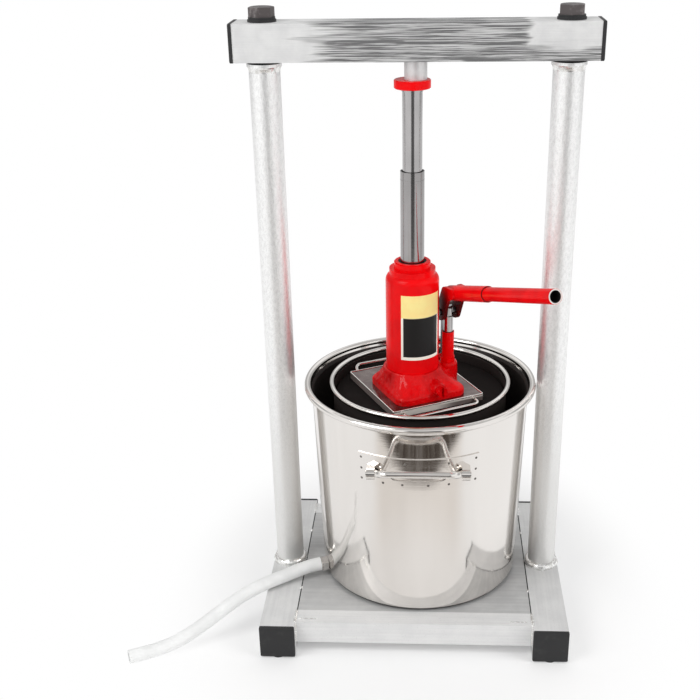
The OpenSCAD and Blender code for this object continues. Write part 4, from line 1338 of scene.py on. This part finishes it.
@dataclass
class Jack(Assembly):
    """The bottle jack: casting, reservoir, nut, rams, pump, lever and its label."""

    x: float = -3.5 * MM
    base_z: float = 282.2 * MM
    turn: float = 27.0
    label_r: float = 30.35 * MM
    label_t: float = 0.25 * MM
    label_low: float = 47.0 * MM
    label_high: float = 124.0 * MM
    label_span: float = 93.0
    label_turn: float = -4.0
    label_steps: tuple[int, int] = (65, 33)
    seat_half: Pair = (57.0 * MM, 62.0 * MM)
    seat_at: Pair = (8.4 * MM, 10.0 * MM)
    hem_r: float = 0.9 * MM
    mouth_depth: float = 14.0 * MM
    bore_shade_in: float = 0.1 * MM
    edge_in: float = 0.2 * MM
    step_in: float = 0.3 * MM
    lift: float = 0.05 * MM
    shade_reach: float = 43.0 * MM
    foot_half: float = 43.5 * MM
    foot_corner: float = 13.0 * MM
    foot_at: Pair = (5.5 * MM, -3.0 * MM)
    foot_points: int = 240
    neck_r: float = 33.3 * MM
    lump: float = 1.1 * MM
    lump_low: float = 3.0
    lump_span: float = 25.0
    pump_x: float = 46.5 * MM
    bridge_x: Pair = (30.0 * MM, 46.5 * MM)
    lug_x: Pair = (42.5 * MM, 50.5 * MM)
    lug_y: float = 21.25 * MM
    lug_z: float = 20.0 * MM
    lug_r: float = 6.0 * MM
    valve_at: Place = (11.0 * MM, -30.0 * MM, 14.0 * MM)
    # The casting's profiles and its skirt's rows, in millimetres, and the waves of its lumps.
    boss: ClassVar[Table] = (
        (11.6, 0.05), (11.2, 22), (11, 23.8), (10.3, 25.3), (9, 26), (7.05, 26),
    )
    valve: ClassVar[Table] = (
        (8.6, 0), (8, 14), (8, 18.6), (7.5, 19.6), (6.5, 20), (4.06, 20),
    )
    bridge: ClassVar[Table] = (
        (-11, 0.05), (-11, 17), (-10.2, 19.2), (-8, 20), (8, 20), (10.2, 19.2), (11, 17), (11, 0.05),
    )
    skirt: ClassVar[Table] = (
        (0.05, 0, 0), (0.05, 0.985, 33.3), (0.8, 1, 33.3), (4, 1, 33.3), (6.5, 0.985, 33.3),
        (8.5, 0.93, 33.3), (10, 0.85, 33.3), (12.5, 0.68, 33.3), (16, 0.47, 33.3), (20, 0.28, 33.3),
        (24, 0.13, 33.3), (27, 0.04, 33.3), (28.3, 0.01, 33.3), (29.2, 0, 32.9), (29.6, 0, 32.2),
        (29.5, 0, 30.5),
    )
    waves: ClassVar[Table] = (
        (0.5, 5, 0, 0.7), (0.35, 11, 0.12, 2.0), (0.3, 19, -0.2, 1.1), (0.22, 31, 0.31, 0.0),
    )

    @classmethod
    def seat_left(cls) -> float:
        """Where the left side of the jack's seat lies along the turned X axis."""
        return cls.x * math.cos(math.radians(cls.turn)) + cls.seat_at[0] - cls.seat_half[0]

    def stood(self, shell: Shell, turn: float = 0.0) -> Shell:
        """A surface drawn round the jack's own axis, put where the jack stands."""
        return shell.turned(self.turn + turn).moved((self.x, 0, self.base_z))

    def skirt_shell(self) -> Shell:
        """The cast foot's skirt, from a rounded square up to the reservoir's round neck.

        With the square's point p and the neck's direction w at the same angle t, a row of the table (height
        h, share f, neck n) holds the points n w + f (p - neck_r w). Lumps push them out along w by
        lump sin(pi (h - lump_low) / lump_span) times the sum of a sin(k t + m h + c) over the waves
        (a, k, m, c).

        Returns:
            The skirt's surface, round the jack's own axis.
        """
        loop = EndCaps(self.foot_corner).outline(self.foot_half, self.foot_half)
        loop = np.concatenate([loop, loop[:1]])
        run = np.concatenate([[0.0], np.cumsum(np.linalg.norm(np.diff(loop, axis=0), axis=1))])
        even = np.linspace(0.0, run[-1], self.foot_points, endpoint=False)
        foot = np.stack([np.interp(even, run, loop[:, k]) for k in range(2)], axis=-1)
        foot = foot + np.array(self.foot_at)
        t = np.arctan2(foot[:, 1], foot[:, 0])
        way = np.stack([np.cos(t), np.sin(t)], axis=-1)
        table = np.array(self.skirt, float)
        rows = np.linspace(0, len(table) - 1, 4 * len(table) - 3)
        h, share, neck = (np.interp(rows, np.arange(len(table)), column)[:, None] for column in table.T)
        swell = sum(a * np.sin(k * t + m * h + c) for a, k, m, c in self.waves)
        swell = self.lump * np.sin(math.pi * np.clip((h - self.lump_low) / self.lump_span, 0.0, 1.0)) * swell
        flat = (neck * MM + swell)[..., None] * way + share[..., None] * (foot - self.neck_r * way)
        return grid_shell(np.concatenate([flat, (h * MM + 0.0 * t)[..., None]], axis=-1), wrap_cols=True)

    def casting_shell(self) -> Shell:
        """The cast foot: its skirt, the pump's boss and bridge, the lug of the links and the valve's boss.

        The bosses are turned profiles. The bridge and the lug are outlines across X, carried along X.

        Returns:
            The casting's surface.
        """
        boss, valve, bridge = (np.array(table) * MM for table in (self.boss, self.valve, self.bridge))
        eye = arc((self.lug_y, self.lug_z), self.lug_r, 180.0, 0.0, 13)
        wall = [(0.0, self.lift), (0.0, self.lug_z)]
        lug = np.concatenate([wall, eye, [(self.lug_y + self.lug_r, self.lift)]])
        middle = np.broadcast_to(lug.mean(0), lug.shape)
        lug_x = np.repeat(self.lug_x, 2)
        parts = [self.skirt_shell(), revolved(boss, 48).moved((self.pump_x, 0, 0))]
        parts.append(revolved(valve, 40).aimed(np.array([0.0, -1.0, 0.0])).moved(self.valve_at))
        for loops, places in (((bridge, bridge), self.bridge_x), ((middle, lug, lug, middle), lug_x)):
            x = np.array(places)[:, None] + np.zeros(len(loops[0]))
            parts.append(grid_shell(np.concatenate([x[..., None], np.stack(loops)], axis=-1), wrap_cols=True))
        return self.stood(Shell.joined(parts))

    def label_shell(self) -> Shell:
        """A film wrapped round the reservoir: point (u, v) is at angle u and height v.

        Its face lies at the radius label_r + label_t, and its four edges go back to label_r.

        Returns:
            The film's surface, with its own UV.
        """
        half = self.label_span / 2
        t = np.radians(np.linspace(-90 - half, -90 + half, self.label_steps[0]))
        h = np.linspace(self.label_low, self.label_high, self.label_steps[1])
        t, h = (np.concatenate([row[:1], row, row[-1:]]) for row in (t, h))
        r = np.full((len(h), len(t)), self.label_r + self.label_t)
        r[[0, -1], :] = self.label_r
        r[:, [0, -1]] = self.label_r
        shell = grid_shell(np.stack([r * np.cos(t), r * np.sin(t), h[:, None] + 0.0 * r], axis=-1))
        v, u = np.meshgrid(shares(h), shares(t), indexing="ij")
        shell.uv = np.stack([u, v], axis=-1).reshape(-1, 2)
        return self.stood(shell, self.label_turn)

    def hem_shell(self) -> Shell:
        """The rolled hem along the top edge of the jack's seat: a thin rod swept round its outline.

        Returns:
            The hem's surface.
        """
        outline = EndCaps().outline(*self.seat_half)
        loop = np.concatenate([outline, outline[:2]])
        route = np.column_stack([loop + np.array(self.seat_at), np.zeros(len(loop))])
        rings = swept(route, np.full(len(route), self.hem_r), 12)
        return self.stood(grid_shell(rings, wrap_cols=True))

    def mouth_shells(self) -> list[Shell]:
        """Details of the handle, as profiles turned about its axis.

        Returns:
            The dark lining of painted shade in the handle's bore, the bare edge of the handle's end, and the
            dark step of painted shade at the socket's mouth.
        """
        axis, end, bore, outer = tube_end("handle_tube")
        _, mouth, _, socket = tube_end("lever_socket", axis)
        wall, depth = bore - self.lift, -self.mouth_depth
        places = (
            (((wall, -self.bore_shade_in), (wall, depth), (0.0, depth)), end),
            (((bore, self.lift), (outer - self.edge_in, self.lift)), end),
            (((outer, self.lift), (socket - self.step_in, self.lift)), mouth),
        )
        return [revolved(np.array(profile), 40).aimed(axis).moved(place) for profile, place in places]

    def build(self) -> tuple[Any, ...]:
        """Makes the jack's new pieces.

        Returns:
            The cast foot, the label, the seat's hem, the handle's bore and edge, and the socket's step.
        """
        bore_shade, edge, step = self.mouth_shells()
        return (
            add_piece("jack_casting", self.casting_shell(), Body.JACK, "jack_base"),
            add_piece("bare_label", self.label_shell(), Body.JACK, "label_panel"),
            add_piece("seat_hem", self.hem_shell(), Body.JACK),
            add_piece("handle_bore", bore_shade, Body.HANDLE),
            add_piece("handle_edge", edge, Body.HANDLE),
            add_piece("socket_step", step, Body.LEVER),
        )

    def dress(self, foot: Any, label: Any, hem: Any, bore: Any, edge: Any, step: Any) -> None:
        """Finishes the jack's nodes and pieces.

        Args:
            foot: the cast foot.
            label: the label film.
            hem: the hem of the seat.
            bore: the dark lining of painted shade in the handle's bore.
            edge: the bare edge of the handle.
            step: the dark step of painted shade at the socket's mouth.
        """
        pin = tuple(float(v) for v in middle_of("plunger_pin"))
        cast_red, cast_deep = (0.74, 0.002, 0.004), (0.46, 0.001, 0.002)
        casting = RedEnamel("red_casting", cast_red, cast_deep, 1.3 * MM, 210.0, gloss=0.04, coat=0.26)
        steel = SatinSheet("machined_steel", (0.2, 0.2, 0.21), (0.36, 0.36, 0.37), 0.26)
        dress(RedEnamel("red_enamel"), "jack_reservoir", "top_nut", "saddle", "pump_cylinder", "handle_tube")
        # Painted shade: the socket is drawn near-black round the plunger pin, in its clevis.
        dress(RedEnamel("shaded_lever", shade_centre=pin, shade_reach=self.shade_reach), "lever_socket")
        dress(casting, foot, "release_valve")
        # Painted shade: the outer ram is the ground rod drawn darker than the inner ram.
        dress(GroundRod("shaded_rod", (0.30, 0.29, 0.29), (0.40, 0.385, 0.385)), "outer_ram")
        dress(GroundRod("ground_rod", (0.42, 0.41, 0.41), (0.53, 0.515, 0.515)), "inner_ram", "pump_plunger")
        dress(steel, "pressure_cylinder", "fulcrum_links", "fulcrum_pins", "plunger_pin", "check_balls")
        # Painted shade: the bore's lining and the socket's step take the black finish, for the shade inside
        # the handle and in the gap at the socket's mouth.
        dress(RUBBER_AND_SHADE, bore, step, "ram_seal", "inner_ram_seal", "plunger_seal", "filler_plug")
        dress(POLISHED, hem, edge)
        dress(LabelFilm(), label)


# Studio


@dataclass(frozen=True)
class View:
    """The photograph's camera, solved from the straight edges of the frame."""

    place: Place = (16.80 * MM, -1176.11 * MM, 824.26 * MM)
    yaw: float = -0.05305
    pitch: float = -0.43178
    roll: float = -0.01490
    focal_px: float = 1100.75
    centre_px: Pair = (376.55, 387.29)
    size_px: float = 700.0
    sensor_mm: float = 36.0

    def build(self) -> Any:
        """Makes the camera from its three angles and the photograph's middle.

        Returns:
            The camera.
        """
        ahead = np.array([
            math.sin(self.yaw) * math.cos(self.pitch),
            math.cos(self.yaw) * math.cos(self.pitch),
            math.sin(self.pitch),
        ])
        right = np.array([math.cos(self.yaw), -math.sin(self.yaw), 0.0])
        up = np.cross(right, ahead)
        c, s = math.cos(self.roll), math.sin(self.roll)
        right, up = c * right + s * up, c * up - s * right
        lens = bpy.data.cameras.new("photo_camera")
        lens.sensor_width = self.sensor_mm
        lens.lens = self.focal_px / self.size_px * self.sensor_mm
        lens.shift_x = (self.size_px / 2 - self.centre_px[0]) / self.size_px
        lens.shift_y = (self.centre_px[1] - self.size_px / 2) / self.size_px
        lens.clip_start, lens.clip_end = 0.05, 50.0
        camera = link_new("photo_camera", lens, np.stack([right, up, -ahead, self.place], axis=-1))
        bpy.context.scene.camera = camera
        return camera


@dataclass(frozen=True)
class Lamp:
    """A soft square lamp that looks at the press."""

    name: str
    place: Place
    size: Pair
    watts: float
    mirrored: bool = True
    target: Place = (0.0, 0.0, 0.3)

    def build(self) -> Any:
        """Makes the lamp.

        Returns:
            The lamp.
        """
        light = bpy.data.lights.new(self.name, "AREA")
        light.shape = "RECTANGLE"
        light.size, light.size_y = self.size
        light.energy = self.watts
        back = unit(np.subtract(self.place, self.target))
        right = unit(np.cross(UP, back))
        lamp = link_new(self.name, light, np.stack([right, np.cross(back, right), back, self.place], axis=-1))
        lamp.visible_glossy = self.mirrored
        return lamp


@dataclass(frozen=True)
class Studio:
    """White floor and a light tent with a dim opening, and soft lamps."""

    floor_x: Pair = (-3.0, 3.0)
    floor_y: Pair = (-1.2, 3.0)
    paint: Colour = (0.97, 0.97, 0.97)
    white: Colour = (1.0, 1.0, 1.0)
    near_white: float = 0.25
    near: Pair = (0.2, 0.38)
    near_shape: Pair = (1.32, 0.72)
    ambient_low: float = 0.78
    ambient_high: float = 0.34
    ambient_z: Pair = (0.1, 0.7)
    opening: float = 0.84
    opening_turn: float = 5.0
    opening_edge: float = 0.955
    opening_fade: Pair = (-0.012, 0.014)
    wall_z: Pair = (0.3, 0.5)
    flank: float = 0.5
    flank_lean: float = 0.05
    flank_y: Pair = (-0.25, 0.2)
    roof: float = 0.45
    roof_z: Pair = (0.58, 0.8)
    patch_r: Pair = (0.43, 0.66)
    patch_fade: Pair = (0.04, 0.08)
    patch_x: float = 0.01
    front_slope: float = 0.9
    front_fade: Pair = (-0.06, 0.08)
    behind_x: Pair = (0.22, 0.32)
    behind_y: Pair = (0.1, 0.25)
    fan_slope: float = 4.5
    fan_start: float = 0.12
    fan_most: float = 0.9
    fan_fade: Pair = (-0.05, 0.05)
    dim: Colour = (0.5, 0.49, 0.48)
    warm: Colour = (0.86, 0.825, 0.79)
    shadow: Colour = (0.06, 0.047, 0.038)
    lamps: tuple[Lamp, ...] = (
        Lamp("key_left", (-1.3, -1.0, 1.7), (1.15, 1.15), 20.0),
        Lamp("fill_right", (1.5, -0.7, 1.2), (0.9, 1.3), 15.0, False),
        Lamp("top", (0.1, 0.5, 2.1), (1.2, 0.8), 5.0, False),
    )

    def mirrored(self, shade: Shade, east: Signal, north: Signal, glossy: Signal) -> tuple[Any, Signal]:
        """What mirrors see of the floor: warmer in front, dimmer behind, dark where the camera stands.

        The dark patch lies at a distance r between the two radii, within
        |x - patch_x| < -y min((r - r_low) fan_slope + fan_start, fan_most).

        Args:
            shade: the floor's shade.
            east: the place along X.
            north: the place along Y.
            glossy: 1 on mirrored rays.

        Returns:
            The colour socket, and the dark patch as a signal.
        """
        streaks = shade.noise((38.0, 3.0, 1.0), 2.0)
        (low, high), (low_fade, high_fade) = self.patch_r, self.patch_fade
        reach = (east * east + north * north) ** 0.5
        front = (north * -self.front_slope - abs(east)).step(*self.front_fade)
        behind = north.step(*self.behind_y) * (1.0 - abs(east).step(*self.behind_x)) * glossy
        fan = ((reach - low) * self.fan_slope + self.fan_start).smallest(self.fan_most)
        within = 1.0 - (abs(east - self.patch_x) + north * fan).step(*self.fan_fade)
        ring = reach.step(low, low + low_fade) * (1.0 - reach.step(high, high + high_fade))
        patch = within * ring * (0.55 + streaks * 0.8).smallest(1.0) * glossy
        tint = shade.mixed(behind, shade.mixed(front * glossy, self.white, self.warm), self.dim)
        return shade.mixed(patch, tint, self.shadow), patch

    def floor(self) -> Any:
        """Makes the floor, which keeps part of the shadow near the press and is plain white further out.

        Returns:
            The floor.
        """
        x, y = np.meshgrid(self.floor_x, self.floor_y, indexing="ij")
        floor = link_new("floor", grid_shell(np.stack([x, y, 0.0 * x], axis=-1)).mesh("floor"))
        shade = Shade("pale_floor")
        east, north, _ = shade.at()
        camera, glossy, through = shade.rays(*Ray)
        wide, deep = self.near_shape
        away = ((east * east * wide + north * north * deep) ** 0.5).step(*self.near)
        colour, patch = self.mirrored(shade, east, north, glossy)
        seen = camera.largest(glossy).largest(through)
        glowing = (seen * (self.near_white + away * (1.0 - self.near_white))).largest(patch)
        paint = shade.node("ShaderNodeBsdfDiffuse", inputs={"Color": self.paint})
        glow = shade.node("ShaderNodeEmission", inputs={"Color": colour, "Strength": 1.0})
        both = shade.node("ShaderNodeMixShader", inputs={0: glowing, 1: paint.outputs[0], 2: glow.outputs[0]})
        shade.feed(shade.output.inputs["Surface"], both.outputs[0])
        floor.data.materials.append(shade.material)
        return floor

    def tent(self, x: Signal, y: Signal, z: Signal) -> Signal:
        """What a mirror sees in a direction: white, dimmer overhead, behind and in an opening in front.

        With the level part f = (x^2 + y^2)^0.5, the opening is where x sin a - y cos a comes near f for the
        opening's turn a, the far side is where y is over zero, and the roof is where z comes near 1.

        Args:
            x: the direction's part to the right.
            y: its part to the back.
            z: its part upwards.

        Returns:
            The light from there, where 1 is white.
        """
        level = (x * x + y * y) ** 0.5
        turn = math.radians(self.opening_turn)
        ahead = x * math.sin(turn) - y * math.cos(turn)
        low = 1.0 - z.step(*self.wall_z)
        front = (ahead - level * self.opening_edge).step(*self.opening_fade)
        far = (y - level * self.flank_lean).step(*self.flank_y)
        return 1.0 - low * (front * self.opening + far * self.flank) - z.step(*self.roof_z) * self.roof

    def surroundings(self) -> None:
        """Makes the world: white to the camera, the tent to mirrors and soft light to the rest.

        The soft light goes from ambient_low near the horizon to ambient_high overhead.
        """
        world = bpy.data.worlds.new("studio")
        bpy.context.scene.world = world
        world.use_nodes = True
        nodes = Nodes(world.node_tree)
        camera, glossy, through = nodes.rays(*Ray)
        x, y, z = nodes.axes(nodes.node("ShaderNodeTexCoord").outputs["Generated"])
        soft = self.ambient_low - z.step(*self.ambient_z) * (self.ambient_low - self.ambient_high)
        level = glossy.largest(through) * (self.tent(x, y, z) - soft) + soft
        level = camera * (1.0 - level) + level
        dark, white = (
            nodes.node("ShaderNodeBackground", inputs={"Color": 3 * (tone,), "Strength": 1.0}).outputs[0]
            for tone in (0.0, 1.0)
        )
        both = nodes.node("ShaderNodeMixShader", inputs={0: level, 1: dark, 2: white})
        nodes.node("ShaderNodeOutputWorld", inputs={"Surface": both.outputs[0]})

    def build(self) -> None:
        """Makes the floor, the world and the lamps."""
        self.floor()
        self.surroundings()
        for lamp in self.lamps:
            lamp.build()
        bpy.context.scene.view_settings.view_transform = "Standard"


def main() -> None:
    """Builds and dresses each sub-assembly in order."""
    logging.basicConfig(level=logging.INFO, format="%(name)s: %(message)s")
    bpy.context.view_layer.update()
    View().build()
    Studio().build()
    for part in (DrainHose(), FloorFrame(), Columns(), Beam(), Barrel(), Basket(), Jack()):
        part.dress(*part.build())


if __name__ == "__main__":
    main()
